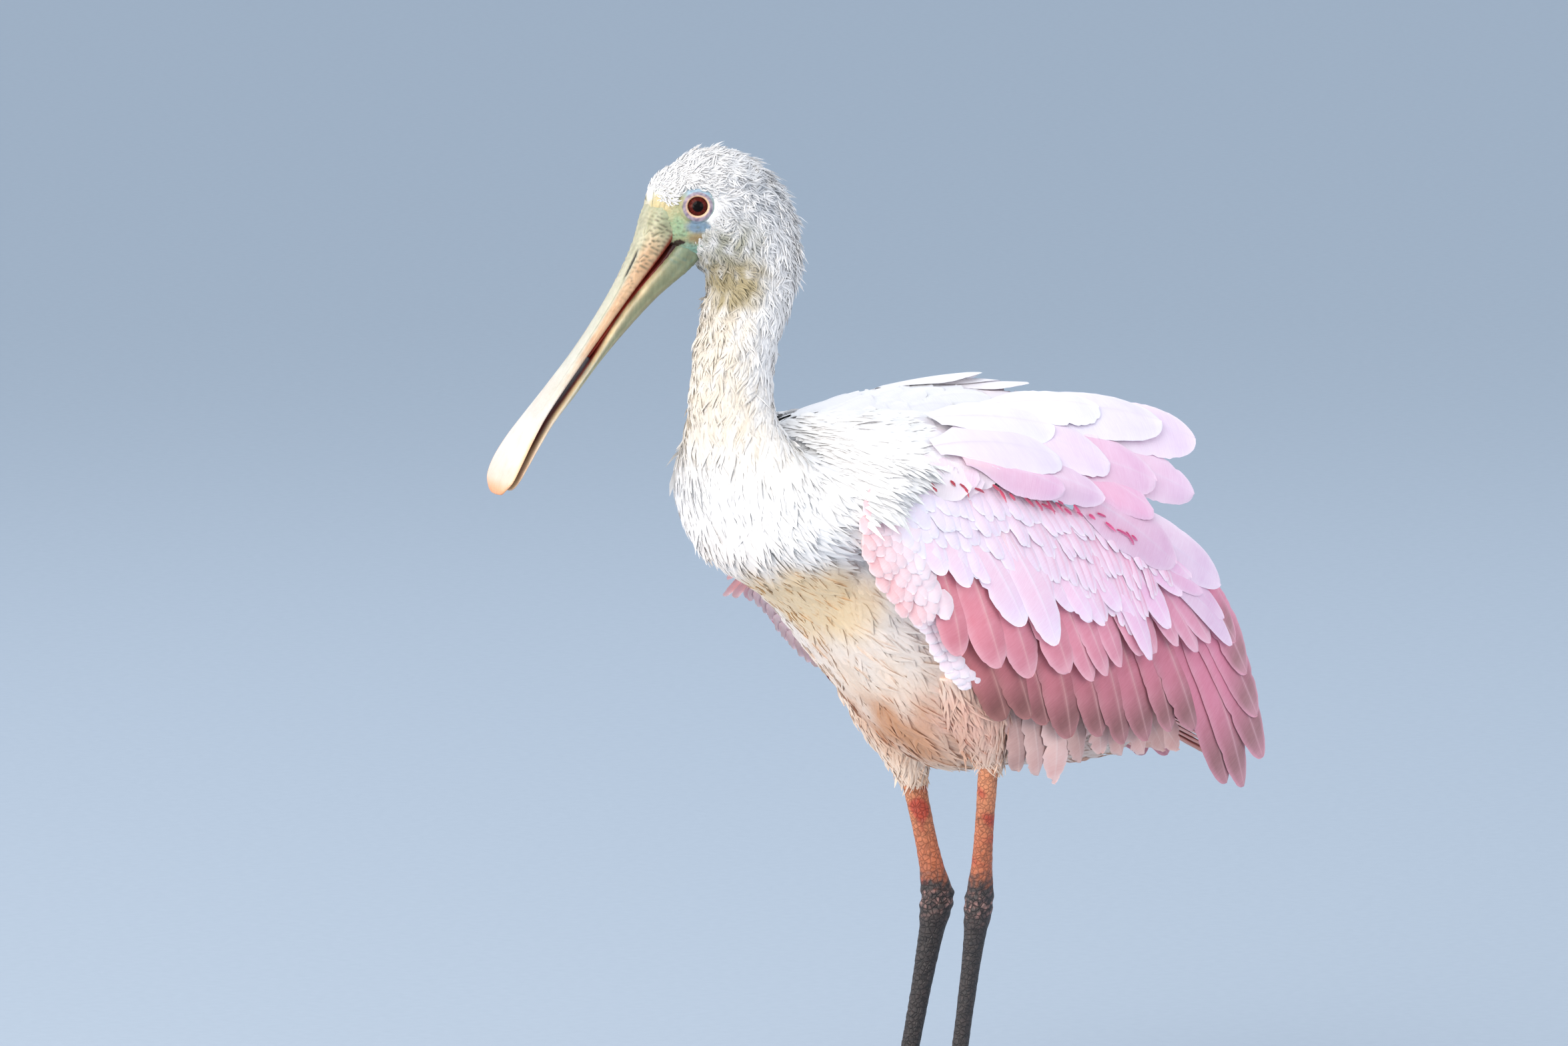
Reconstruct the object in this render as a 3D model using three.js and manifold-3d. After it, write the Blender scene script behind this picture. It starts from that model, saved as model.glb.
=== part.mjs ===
// A roseate spoonbill as a still, life-size museum model: standing, wings drooped, head turned to its right.
// Millimetres. +X is the way the breast faces, +Y the bird's left, +Z up. It is drawn over the middle of its feet, and
// the last step moves it so that the origin is the bottom centre of the box round the whole bird.
import * as THREE from 'three';
import { mergeVertices } from 'three/addons/utils/BufferGeometryUtils.js';
import Module from 'manifold-3d';

const wasm = await Module();
wasm.setup();

// Driving dimensions
const GAP = 0.3;                // air between neighbouring nodes
const BILL_LENGTH = 159;        // culmen, forehead feathers to tip
const BILL_PITCH = 62;          // degrees below the horizon
const SPOON_HALF = 22;          // half width of the bill's tip
const HEAD_TURN = -22;          // degrees, to the bird's right
const HEAD_PIVOT_X = 117;       // the neck's axis under the head
const EYE_RADIUS = 7.2;
const EYE_AT = { ahead: 31, side: 14, z: 474 };
const ANKLE_Z = 121;
const FOOT_TURN = 25;           // degrees that each foot points outwards
const TOE_LENGTH = 70;
const VANE = 0.8;               // thickness of a feather's vane

const V3 = THREE.Vector3;
const rad = THREE.MathUtils.degToRad;

// Solids

// A closed three.js geometry as a solid with its faces pointing out.
function solidOf(geometry) {
  const bare = new THREE.BufferGeometry().setAttribute('position', geometry.getAttribute('position'));
  if (geometry.index) bare.setIndex(geometry.index);
  const merged = mergeVertices(bare, 1e-4);
  const corners = new Uint32Array(merged.index.array);
  const make = () => new wasm.Manifold(
    new wasm.Mesh({ numProp: 3, vertProperties: merged.attributes.position.array, triVerts: corners }));
  const made = make();
  if (made.volume() > 0) return made;
  for (let i = 0; i < corners.length; i += 3) {
    [corners[i], corners[i + 1]] = [corners[i + 1], corners[i]];
  }
  return make();
}

function geometryOf(solid) {
  const mesh = solid.getMesh();
  const points = new Float32Array(mesh.numVert * 3);
  for (let i = 0; i < mesh.numVert; i++) {
    points.set(mesh.vertProperties.subarray(i * mesh.numProp, i * mesh.numProp + 3), i * 3);
  }
  return new THREE.BufferGeometry()
    .setAttribute('position', new THREE.BufferAttribute(points, 3))
    .setIndex(new THREE.BufferAttribute(mesh.triVerts, 1));
}

function largest(solid) {
  return solid.decompose().reduce((a, b) => (a.volume() > b.volume() ? a : b));
}

function fused(solids) {
  return wasm.Manifold.union(solids);
}

// The part of a solid on the side of a plane that its normal points to, half a gap away from it.
function keptAbove(solid, point, normal) {
  const n = normal.clone().normalize();
  return solid.trimByPlane(n.toArray(), n.dot(point) + GAP / 2);
}

// A closed cylinder bent so that ring t of 0..1 is an ellipse: centre(t) + cos * across(t) + sin * up(t).
function loft(stations, sides, rings, grow = 0) {
  const centre = new THREE.CatmullRomCurve3(stations.map((s) => s.at), false, 'catmullrom', 0.5);
  const across = new THREE.CatmullRomCurve3(stations.map((s) => s.across), false, 'catmullrom', 0.5);
  const up = new THREE.CatmullRomCurve3(stations.map((s) => s.up), false, 'catmullrom', 0.5);
  const geometry = new THREE.CylinderGeometry(1, 1, 1, sides, rings, false);
  const position = geometry.getAttribute('position');
  for (let i = 0; i < position.count; i++) {
    const t = THREE.MathUtils.clamp(position.getY(i) + 0.5, 0, 1);
    const c = centre.getPoint(t);
    const a = across.getPoint(t);
    const b = up.getPoint(t);
    const [p, q] = [position.getX(i), position.getZ(i)];
    c.addScaledVector(a, p * (1 + grow / a.length()));
    c.addScaledVector(b, q * (1 + grow / b.length()));
    position.setXYZ(i, c.x, c.y, c.z);
  }
  return solidOf(geometry);
}

// A rib of the trunk: its top and bottom in the middle plane, and its half width.
function rib(topX, topZ, bottomX, bottomZ, halfWidth) {
  return {
    at: new V3((topX + bottomX) / 2, 0, (topZ + bottomZ) / 2),
    across: new V3(0, halfWidth, 0),
    up: new V3((topX - bottomX) / 2, 0, (topZ - bottomZ) / 2),
  };
}

// A level slice of the neck: its height, middle, and half sizes along X and Y.
function slice(z, x, halfX, halfY) {
  return { at: new V3(x, 0, z), across: new V3(halfX, 0, 0), up: new V3(0, halfY, 0) };
}

// A slice across the head: how far ahead of the neck's axis, its lowest and highest point, and its half width.
function headSlice(ahead, low, high, halfWidth) {
  return {
    at: inHead(ahead, 0, (low + high) / 2),
    across: inHead(0, halfWidth, 0).sub(inHead(0, 0, 0)),
    up: new V3(0, 0, (high - low) / 2),
  };
}

// A point given ahead of the neck's axis, to the left of the head's middle plane, and up from the floor.
function inHead(ahead, left, z) {
  const turn = rad(HEAD_TURN);
  return new V3(
    HEAD_PIVOT_X + ahead * Math.cos(turn) - left * Math.sin(turn),
    ahead * Math.sin(turn) + left * Math.cos(turn),
    z);
}

// Trunk, neck and head, made whole and parted by thin cuts
const TRUNK_RIBS = [
  rib(-126, 220, -124, 194, 9),
  rib(-108, 244, -100, 185, 25),
  rib(-84, 274, -72, 182, 37),
  rib(-54, 314, -42, 182, 48),
  rib(-16, 356, -4, 184, 55),
  rib(30, 376, 22, 200, 58),
  rib(66, 377, 54, 237, 57),
  rib(94, 368, 80, 268, 50),
  rib(114, 349, 98, 288, 36),
  rib(123, 332, 113, 304, 14),
];
const NECK_SLICES = [
  slice(279, 80, 12, 16),
  slice(285, 84, 28, 37),
  slice(297, 88, 40, 50),
  slice(315, 96, 46, 55),
  slice(335, 105, 43, 49),
  slice(350, 117, 34, 36),
  slice(365, 128, 24, 25),
  slice(380, 130, 21, 21.5),
  slice(405, 125, 23, 22),
  slice(425, 117, 25, 23),
  slice(450, 112, 20, 19),
];
const HEAD_SLICES = [
  headSlice(-24, 450, 462, 6),
  headSlice(-18, 437, 480, 16),
  headSlice(-6, 434, 495, 22.5),
  headSlice(10, 439, 502, 24.5),
  headSlice(26, 442, 502, 22),
  headSlice(39, 449, 494, 16.5),
  headSlice(48, 457, 486, 12.5),
  headSlice(52, 465, 478, 6),
];
const NECK_CUT = { at: new V3(119, 0, 348), facing: new V3(0.61, 0, 0.79) };
const THROAT_CUT = { at: new V3(127, 0, 388), facing: new V3(-0.15, 0, 1) };
const HEAD_CUT = { at: new V3(117, 0, 428), facing: new V3(-0.25, 0, 1) };

const trunkLoft = (grow) => loft(TRUNK_RIBS, 22, 18, grow);
const neckLoft = (grow) => loft(NECK_SLICES, 18, 20, grow);
const headLoft = (grow) => loft(HEAD_SLICES, 18, 11, grow);

const bodyWhole = fused([trunkLoft(0), neckLoft(0), headLoft(0)]);
const bodyGrown = fused([trunkLoft(GAP), neckLoft(GAP), headLoft(GAP)]);
const flipped = (v) => v.clone().negate();
const aboveNeckCut = keptAbove(bodyWhole, NECK_CUT.at, NECK_CUT.facing);
const trunk = largest(keptAbove(bodyWhole, NECK_CUT.at, flipped(NECK_CUT.facing)));
const neckLower = largest(keptAbove(aboveNeckCut, THROAT_CUT.at, flipped(THROAT_CUT.facing)));
const aboveThroat = keptAbove(aboveNeckCut, THROAT_CUT.at, THROAT_CUT.facing);
const neckUpper = largest(keptAbove(aboveThroat, HEAD_CUT.at, flipped(HEAD_CUT.facing)));
const headBall = largest(keptAbove(aboveThroat, HEAD_CUT.at, HEAD_CUT.facing));

// Bill, laid out along its own axis: s from the forehead to the tip, n towards the culmen, l to the left
const BILL_ROOT = { ahead: 51.3, z: 475.5 };
function inBill(s, l, n) {
  const pitch = rad(BILL_PITCH);
  return inHead(
    BILL_ROOT.ahead + s * Math.cos(pitch) + n * Math.sin(pitch), l,
    BILL_ROOT.z - s * Math.sin(pitch) + n * Math.cos(pitch));
}

// A cross-section of a mandible: distance from the forehead, half width, and the heights of its back and its edge.
function billSlice(s, halfWidth, top, bottom) {
  const middle = inBill(s, 0, (top + bottom) / 2);
  return {
    at: middle,
    across: inBill(s, halfWidth, (top + bottom) / 2).sub(middle),
    up: inBill(s, 0, top).sub(middle),
  };
}

const UPPER_BILL = [
  billSlice(-14, 12, -6, -22),
  billSlice(2, 12.6, -0.5, -20),
  billSlice(20, 11.6, -3.6, -17),
  billSlice(40, 10, -4.6, -13),
  billSlice(60, 9.2, -3.6, -9.5),
  billSlice(80, 9.6, -1.4, -6),
  billSlice(100, 12.2, 1.6, -2.2),
  billSlice(116, 15.4, 4, 0.8),
  billSlice(130, 19.6, 5.4, 2.6),
  billSlice(142, SPOON_HALF, 5.8, 3.2),
  billSlice(151, 20.5, 5.2, 2.8),
  billSlice(156, 14, 4.2, 2.2),
  billSlice(BILL_LENGTH, 7, 3.2, 1.4),
];
const LOWER_BILL = [
  billSlice(4, 10.5, -25, -37),
  billSlice(20, 10.8, -21.5, -33),
  billSlice(40, 9.6, -16.2, -24.5),
  billSlice(60, 8.8, -12, -18.4),
  billSlice(80, 9.2, -8.4, -13),
  billSlice(100, 11.6, -4.8, -8.6),
  billSlice(116, 14.4, -1.4, -4.4),
  billSlice(130, 18.6, 0.9, -1.9),
  billSlice(142, SPOON_HALF - 1.5, 1.9, -0.7),
  billSlice(150, 18.5, 1.7, -0.6),
  billSlice(155, 12, 1.1, -0.6),
];
const headGrown = headLoft(GAP);
const NOSTRIL = { s: 31, l: 5.6, n: -4.6, long: 16, wide: 1.2 };

// A slit of the nostril, long and narrow along the bill.
function nostril(side) {
  const slit = new THREE.SphereGeometry(1, 6, 4);
  const place = inBill(NOSTRIL.s, side * NOSTRIL.l, NOSTRIL.n);
  const along = inBill(NOSTRIL.s + 1, side * NOSTRIL.l, NOSTRIL.n).sub(place);
  const out = inBill(NOSTRIL.s, side * NOSTRIL.l, NOSTRIL.n + 1).sub(place);
  const aside = new V3().crossVectors(along, out);
  const frame = new THREE.Matrix4().makeBasis(
    along.multiplyScalar(NOSTRIL.long / 2), out.multiplyScalar(2), aside.multiplyScalar(NOSTRIL.wide));
  return solidOf(slit.applyMatrix4(frame.setPosition(place)));
}

const upperBill = largest(
  loft(UPPER_BILL, 12, 21).subtract(headGrown).subtract(nostril(1)).subtract(nostril(-1)));
const lowerBill = largest(loft(LOWER_BILL, 12, 18).subtract(headGrown));

// Eyes in their sockets, with a raised ring of lid
const eyes = {};
let head = headBall;
for (const [name, side] of [['eye_left', 1], ['eye_right', -1]]) {
  const centre = inHead(EYE_AT.ahead, side * EYE_AT.side, EYE_AT.z);
  const out = inHead(EYE_AT.ahead + 0.25, side * (EYE_AT.side + 1), EYE_AT.z).sub(centre).normalize();
  const turned = new THREE.Quaternion().setFromUnitVectors(new V3(0, 0, 1), out);
  const place = new THREE.Matrix4().compose(centre, turned, new V3(1, 1, 1));
  const ball = (r) => solidOf(new THREE.SphereGeometry(r, 12, 8).applyMatrix4(place));
  const lid = new THREE.TorusGeometry(6.3, 1.5, 4, 12).translate(0, 0, 4.9).applyMatrix4(place);
  head = head.add(solidOf(lid)).subtract(ball(EYE_RADIUS + GAP));
  eyes[name] = ball(EYE_RADIUS);
}
head = largest(head);

// Feathers

// A vane laid on a surface: three points across each row of its length, and the same triangles on both faces.
// surface(a, b, h) gives a point; the shaft runs from one (a, b) to another with a sideways bend.
// Each row is its place along the shaft and its width as a share of the widest.
const LONG_ROWS = [[0, 0.35], [0.5, 1], [0.87, 0.88], [1, 0.42]];
const SHORT_ROWS = [[0, 0.55], [0.76, 1], [1, 0.45]];
function vane(surface, f) {
  const from = new THREE.Vector2(...f.from);
  const to = new THREE.Vector2(...f.to);
  const along = to.clone().sub(from);
  const side = new THREE.Vector2(-along.y, along.x).normalize();
  const middle = from.clone().lerp(to, 0.5).addScaledVector(side, f.bend ?? 0);
  const shaft = new THREE.QuadraticBezierCurve(from, middle, to);
  const rows = f.rows ?? LONG_ROWS;
  const points = [];
  for (const face of [1, -1]) {
    for (const [s, share] of rows) {
      const ahead = shaft.getTangent(s);
      const half = share * f.width / 2;
      const thick = (s === 1 ? 0.6 : 1) * VANE / 2;
      for (const w of [-1, 0, 1]) {
        const at = shaft.getPoint(s === 1 && w !== 0 ? 0.965 : s);
        const roll = (f.roll ?? 0) * w * share;
        const h = f.lift + (f.rise ?? 0) * s + roll - 0.5 * w * w * (f.camber ?? 1);
        points.push(surface(at.x - ahead.y * half * w, at.y + ahead.x * half * w, h + face * thick));
      }
    }
  }
  const index = [];
  const layer = rows.length * 3;
  const cell = (a, b, c, d) => index.push(a, b, c, a, c, d);
  for (let r = 0; r < rows.length - 1; r++) {
    for (const c of [0, 1]) {
      const i = r * 3 + c;
      cell(i, i + 1, i + 4, i + 3);
      index.push(layer + i, layer + i + 4, layer + i + 1, layer + i, layer + i + 3, layer + i + 4);
    }
    cell(r * 3 + 3, layer + r * 3 + 3, layer + r * 3, r * 3);
    cell(r * 3 + 2, layer + r * 3 + 2, layer + r * 3 + 5, r * 3 + 5);
  }
  const last = (rows.length - 1) * 3;
  for (const c of [0, 1]) {
    cell(c, layer + c, layer + c + 1, c + 1);
    cell(last + c + 1, layer + last + c + 1, layer + last + c, last + c);
  }
  return solidOf(new THREE.BufferGeometry().setFromPoints(points).setIndex(index));
}

// Seeded draws from -1 to 1, so that no two feathers are quite alike.
let seed = 7;
function draw() {
  seed = (seed * 16807) % 2147483647;
  return 2 * seed / 2147483647 - 1;
}

// A curve through points of the wing's side view, [x, z], read at 0..1 from its front to its rear.
function line(points) {
  const curve = new THREE.CatmullRomCurve3(points.map(([x, z]) => new V3(x, 0, z)), false, 'catmullrom', 0.5);
  return (p) => {
    const at = curve.getPoint(THREE.MathUtils.clamp(p, 0, 1));
    return [at.x, at.z];
  };
}

function mix(a, b, t) {
  return [a[0] + (b[0] - a[0]) * t, a[1] + (b[1] - a[1]) * t];
}

// The wing's outer side as a height over its side view, bulged, narrowing to the rear, with h outwards from it.
const WRIST_X = 104;
const WING_LENGTH = 284;
function wingSide(side) {
  return (x, z, h) => {
    const p = (WRIST_X - x) / WING_LENGTH;
    const down = (346 - 10 * p - 75 * p * p - z) / 110;
    const y = 70 + 14 * p - 48 * p * p - 12.7 * down + 12 * down * (1 - down);
    const n = new V3((14 - 96 * p) / WING_LENGTH, 1, (0.7 - 24 * down) / 110).normalize();
    return new V3(x + n.x * h, side * (y + n.y * h), z + n.z * h);
  };
}

// A sheet over the shoulder: steep at the side, curling over to the back.
function shoulderSide(side) {
  return (x, z, h) => {
    const p = (80 - x) / 210;
    const over = Math.max(0, (z - 300) / 80);
    const y = 62 - 16 * p * p - 50 * over ** 2.5;
    const n = new V3(0, 1, 1.56 * over ** 1.5).normalize();
    return new V3(x, side * (y + n.y * h), z + n.z * h);
  };
}

// A slab between two lines of the side view, thickest at its upper front.
function slab(surface, upper, lower, columns, rows, outer, inner) {
  const geometry = new THREE.BoxGeometry(1, 1, 1, columns, rows, 1);
  const position = geometry.getAttribute('position');
  for (let i = 0; i < position.count; i++) {
    const p = position.getX(i) + 0.5;
    const q = 0.5 - position.getY(i);
    const [x, z] = mix(upper(p), lower(p), q);
    const at = surface(x, z, position.getZ(i) > 0 ? outer(p, q) : inner(p, q));
    position.setXYZ(i, at.x, at.y, at.z);
  }
  return solidOf(geometry);
}

const TOP_LINE = line([[101, 318], [97, 331], [84, 340], [60, 340], [16, 331], [-25, 321], [-68, 304], [-96, 286]]);
const ARM_LOWER = line([[97, 306], [84, 290], [66, 276], [40, 270], [8, 270], [-26, 272], [-60, 276], [-92, 280]]);
const TIERS = [
  {
    roots: line([[56, 275], [30, 283], [-8, 283], [-50, 282], [-90, 284]]),
    tips: line([[10, 225], [-16, 215], [-56, 204], [-100, 203], [-135, 190], [-172, 172], [-183, 192], [-165, 241],
      [-147, 272]]),
    count: 12, width: 28, narrowing: 0.3, lift: -3, rise: 2.2, roll: 1.2, bend: -5,
  },
  {
    roots: line([[88, 302], [54, 301], [8, 297], [-38, 293], [-78, 290]]),
    tips: line([[67, 276], [46, 258], [9, 246], [-25, 238], [-62, 236], [-88, 242], [-112, 262]]),
    count: 9, width: 27, narrowing: 0.2, lift: -1.4, rise: 4.4, roll: 1.1, bend: -3,
  },
  {
    roots: line([[96, 320], [60, 328], [20, 323], [-20, 315], [-62, 302]]),
    tips: line([[82, 291], [66, 296], [47, 292], [18, 281], [-16, 260], [-46, 264], [-66, 270], [-84, 282]]),
    count: 8, width: 25, narrowing: 0.2, rows: SHORT_ROWS, lift: 0, rise: 6.4, roll: 0.9, bend: -2,
  },
  {
    roots: line([[99, 328], [74, 341], [42, 335], [10, 330], [-25, 321], [-60, 307]]),
    tips: line([[90, 305], [70, 310], [46, 310], [20, 304], [-10, 299], [-40, 294], [-72, 290]]),
    count: 8, width: 21, narrowing: 0.1, rows: SHORT_ROWS, lift: 0.6, rise: 7.6, roll: 0.6, bend: -1,
  },
];
const TERTIALS = [
  { from: [-36, 306], to: [-140, 281], width: 24, lift: -2, rise: 3.2, bend: -7 },
  { from: [-24, 312], to: [-121, 291], width: 30, lift: -0.6, rise: 3.8, bend: -7 },
];
const SHOULDER_UPPER = line([[86, 356], [66, 372], [30, 379], [-6, 378], [-34, 366]]);
const SHOULDER_LOWER = line([[90, 326], [66, 308], [30, 300], [-6, 302], [-38, 318]]);
const SCAPULARS = [
  { from: [0, 336], to: [-130, 320], width: 22, lift: -3.6, rise: -1, bend: -5 },
  { from: [8, 346], to: [-137, 341], width: 32, lift: -2.1, rise: -0.6, bend: -6 },
  { from: [20, 338], to: [-103, 323], width: 26, lift: -0.6, rise: 0.6, bend: -5 },
  { from: [30, 350], to: [-108, 350], width: 34, lift: 0.9, rise: 1, bend: -6 },
  { from: [46, 340], to: [-46, 329], width: 20, lift: 2.4, rise: 1.2, bend: -3 },
  { from: [34, 360], to: [-60, 361], width: 24, lift: 2.4, rise: 1.6, bend: -4 },
  { from: [50, 356], to: [-45, 345], width: 26, lift: 3.9, rise: 1.6, bend: -4 },
  { from: [60, 350], to: [1, 339], width: 20, lift: 5.4, rise: 2, bend: -3 },
];

// The near wing hangs as it is; the far one is held a little higher at its rear.
const HELD = { left: { back: 0, up: 0 }, right: { back: 9, up: 9 } };
function wing(name, side) {
  const plain = wingSide(side);
  const held = HELD[name];
  const surface = (x, z, h) => {
    const p = (WRIST_X - x) / WING_LENGTH;
    return plain(x - held.back, z + held.up * p * p, h);
  };
  const arm = slab(surface, TOP_LINE, ARM_LOWER, 11, 2,
    (p, q) => 3.2 - 4.2 * q, (p, q) => -3 - 7 * (1 - p) ** 2 - 30 * q * (1 - q));
  const pieces = [arm];
  for (const tier of TIERS) {
    for (let i = 0; i < tier.count; i++) {
      const p = i / (tier.count - 1);
      const from = tier.roots(p);
      const to = mix(from, tier.tips(p), 1 + 0.03 * draw());
      const width = tier.width * (1 - tier.narrowing * p + 0.05 * draw());
      pieces.push(vane(surface, { ...tier, from, to, width }));
    }
  }
  for (const feather of TERTIALS) pieces.push(vane(surface, feather));
  const bulge = (p, q) => 4 * Math.sqrt(p * (1 - p) * q * (1 - q));
  const shoulder = slab(shoulderSide(side), SHOULDER_UPPER, SHOULDER_LOWER, 7, 3,
    (p, q) => -3 + 9 * bulge(p, q), (p, q) => -4 - 14 * bulge(p, q));
  pieces.push(shoulder, ...SCAPULARS.map((f) => vane(shoulderSide(side), f)));
  return fused(pieces);
}

// Tail: twelve feathers in a folded fan, level at its root and dropping to the rear
const TAIL_ROOT = new V3(-84, 0, 232);
const TAIL_DROP = 26;                    // degrees below the horizon
function tailPlane(a, b, h) {
  const drop = rad(TAIL_DROP);
  const arch = -b * b / 70;
  return new V3(
    TAIL_ROOT.x - a * Math.cos(drop) - (h + arch) * Math.sin(drop),
    b,
    TAIL_ROOT.z - a * Math.sin(drop) + (h + arch) * Math.cos(drop));
}

function tail() {
  const core = new THREE.SphereGeometry(1, 12, 8).scale(36, 17, 9).rotateY(-rad(TAIL_DROP))
    .translate(TAIL_ROOT.x - 12, 0, TAIL_ROOT.z - 6);
  const pieces = [solidOf(core)];
  for (let i = 0; i < 12; i++) {
    const k = i - 5.5;
    const out = Math.abs(k);
    pieces.push(vane(tailPlane, {
      from: [4, k * 1.6], to: [98 - out * 1.5, k * 3.9], width: 15, lift: 5.2 - out * 1.25, camber: 0.4,
      rows: SHORT_ROWS,
    }));
  }
  return fused(pieces);
}

// Legs
const LEGS = [
  { name: 'left', side: 1, thighEnd: new V3(-11, 27, 179), ankle: new V3(-14.5, 17, ANKLE_Z) },
  { name: 'right', side: -1, thighEnd: new V3(-11.5, -27, 169), ankle: new V3(-18, -17, ANKLE_Z - 1) },
];
const FOOT_AT = new V3(8, 20, 8);

// A round slice of a leg, facing along the bone, deeper than it is wide and turned with the foot.
function legSlice(at, deep, wide, side) {
  const turn = side * rad(FOOT_TURN);
  const ahead = new V3(Math.cos(turn), Math.sin(turn), 0);
  const left = new V3(-Math.sin(turn), Math.cos(turn), 0);
  return { at, across: ahead.multiplyScalar(deep), up: left.multiplyScalar(wide) };
}

function legParts({ side, thighEnd, ankle }) {
  const knee = new V3(8, side * 33, 240);
  const foot = new V3(FOOT_AT.x, side * FOOT_AT.y, FOOT_AT.z);
  const point = (a, b, t) => a.clone().lerp(b, t);
  const thigh = loft([
    legSlice(knee, 20, 14, side),
    legSlice(point(knee, thighEnd, 0.4), 18, 15, side),
    legSlice(point(knee, thighEnd, 0.75), 12, 11.5, side),
    legSlice(thighEnd, 8.5, 8, side),
  ], 14, 7);
  const shank = loft([
    legSlice(point(thighEnd, ankle, 0.006), 6, 4.8, side),
    legSlice(point(thighEnd, ankle, 0.5), 5.6, 4.4, side),
    legSlice(point(thighEnd, ankle, 0.8), 6.6, 5.4, side),
    legSlice(ankle, 8.2, 6.6, side),
    legSlice(point(ankle, foot, 0.045), 8, 6.6, side),
  ], 10, 7);
  const tarsus = loft([
    legSlice(point(ankle, foot, 0.045), 8, 6.6, side),
    legSlice(point(ankle, foot, 0.13), 6.2, 4.9, side),
    legSlice(point(ankle, foot, 0.5), 4.6, 3.9, side),
    legSlice(point(ankle, foot, 0.85), 4.6, 4.1, side),
    legSlice(foot, 6, 5.8, side),
  ], 10, 8);
  return { thigh, shank, tarsus };
}

// A toe: joints along its length on one level, flat underneath, ending in a claw.
function toe(from, angle, length) {
  const ahead = new V3(Math.cos(angle), Math.sin(angle), 0);
  const left = new V3(-Math.sin(angle), Math.cos(angle), 0);
  const ring = (s, z, r) => ({
    at: new V3(from.x, from.y, 0).addScaledVector(ahead, s * length).setZ(z),
    across: left.clone().multiplyScalar(r),
    up: new V3(0, 0, r * 0.95),
  });
  const flesh = loft([
    ring(-0.04, 5.4, 5), ring(0.12, 4, 4.4), ring(0.25, 3.4, 3.9), ring(0.34, 3.2, 3.4), ring(0.5, 3, 3.5),
    ring(0.58, 2.8, 3), ring(0.74, 2.6, 3.1), ring(0.83, 2.4, 2.5), ring(0.9, 2.2, 2.1),
  ], 6, 6);
  const claw = loft([ring(0.86, 2.6, 1.7), ring(0.93, 2.6, 1.4), ring(0.98, 1.7, 0.8), ring(1.01, 0.9, 0.35)], 4, 3);
  return [flesh, claw];
}

function foot(side) {
  const root = new V3(FOOT_AT.x, side * FOOT_AT.y, 0);
  const turn = side * rad(FOOT_TURN);
  const pieces = [];
  for (const [spread, share] of [[0, 1], [27, 0.8], [-29, 0.72], [180, 0.44]]) {
    pieces.push(...toe(root, turn + side * rad(spread), TOE_LENGTH * share));
  }
  const ball = new THREE.SphereGeometry(1, 8, 5).scale(9, 8, 8).translate(root.x - 1, root.y, 6);
  pieces.push(solidOf(ball));
  return fused(pieces).trimByPlane([0, 0, 1], 0);
}

// The bird put together: each node cut clear of what it grows from
const FLESH = { color: 0xf4ece6, roughness: 0.9 };
const PINK = { color: 0xf0a9bb, roughness: 0.8 };
const HORN = { color: 0xd9c9a4, roughness: 0.5 };
const LEG = { color: 0xc9805c, roughness: 0.6 };
const TARSUS = { color: 0x4a3a36, roughness: 0.6 };
const EYE = { color: 0x3a0d0a, roughness: 0.1 };

const bird = new THREE.Group();
function add(name, solid, look) {
  const mesh = new THREE.Mesh(geometryOf(largest(solid)), new THREE.MeshStandardMaterial({ metalness: 0, ...look }));
  mesh.name = name;
  bird.add(mesh);
}

add('head', head, FLESH);
add('bill_upper', upperBill, HORN);
add('bill_lower', lowerBill, HORN);
for (const [name, ball] of Object.entries(eyes)) add(name, ball, EYE);
add('neck_upper', neckUpper, FLESH);
add('neck_lower', neckLower, FLESH);
add('torso', trunk, FLESH);
add('tail', tail().subtract(bodyGrown), PINK);
for (const leg of LEGS) {
  const { thigh, shank, tarsus } = legParts(leg);
  const thighCut = largest(thigh.subtract(bodyGrown));
  const ankleCut = leg.ankle.clone().setZ(leg.ankle.z - 4);
  const down = new V3(0, 0, -1);
  add('thigh_' + leg.name, keptAbove(thighCut, leg.thighEnd, new V3(0, 0, 1)), FLESH);
  add('shank_' + leg.name, keptAbove(keptAbove(shank, leg.thighEnd, down), ankleCut, new V3(0, 0, 1)), LEG);
  const footTop = new V3(0, 0, 11);
  const tarsusAboveFoot = keptAbove(keptAbove(tarsus, ankleCut, down), footTop, new V3(0, 0, 1));
  add('tarsus_' + leg.name, tarsusAboveFoot, TARSUS);
  add('foot_' + leg.name, keptAbove(foot(leg.side), footTop, down), TARSUS);
  add('wing_' + leg.name, wing(leg.name, leg.side).subtract(bodyGrown), PINK);
}

// The origin: bottom centre of the box round the bird
const box = new THREE.Box3().setFromObject(bird);
const middle = box.getCenter(new V3());
for (const mesh of bird.children) mesh.geometry.translate(-middle.x, -middle.y, -box.min.z);

export default bird;
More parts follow.
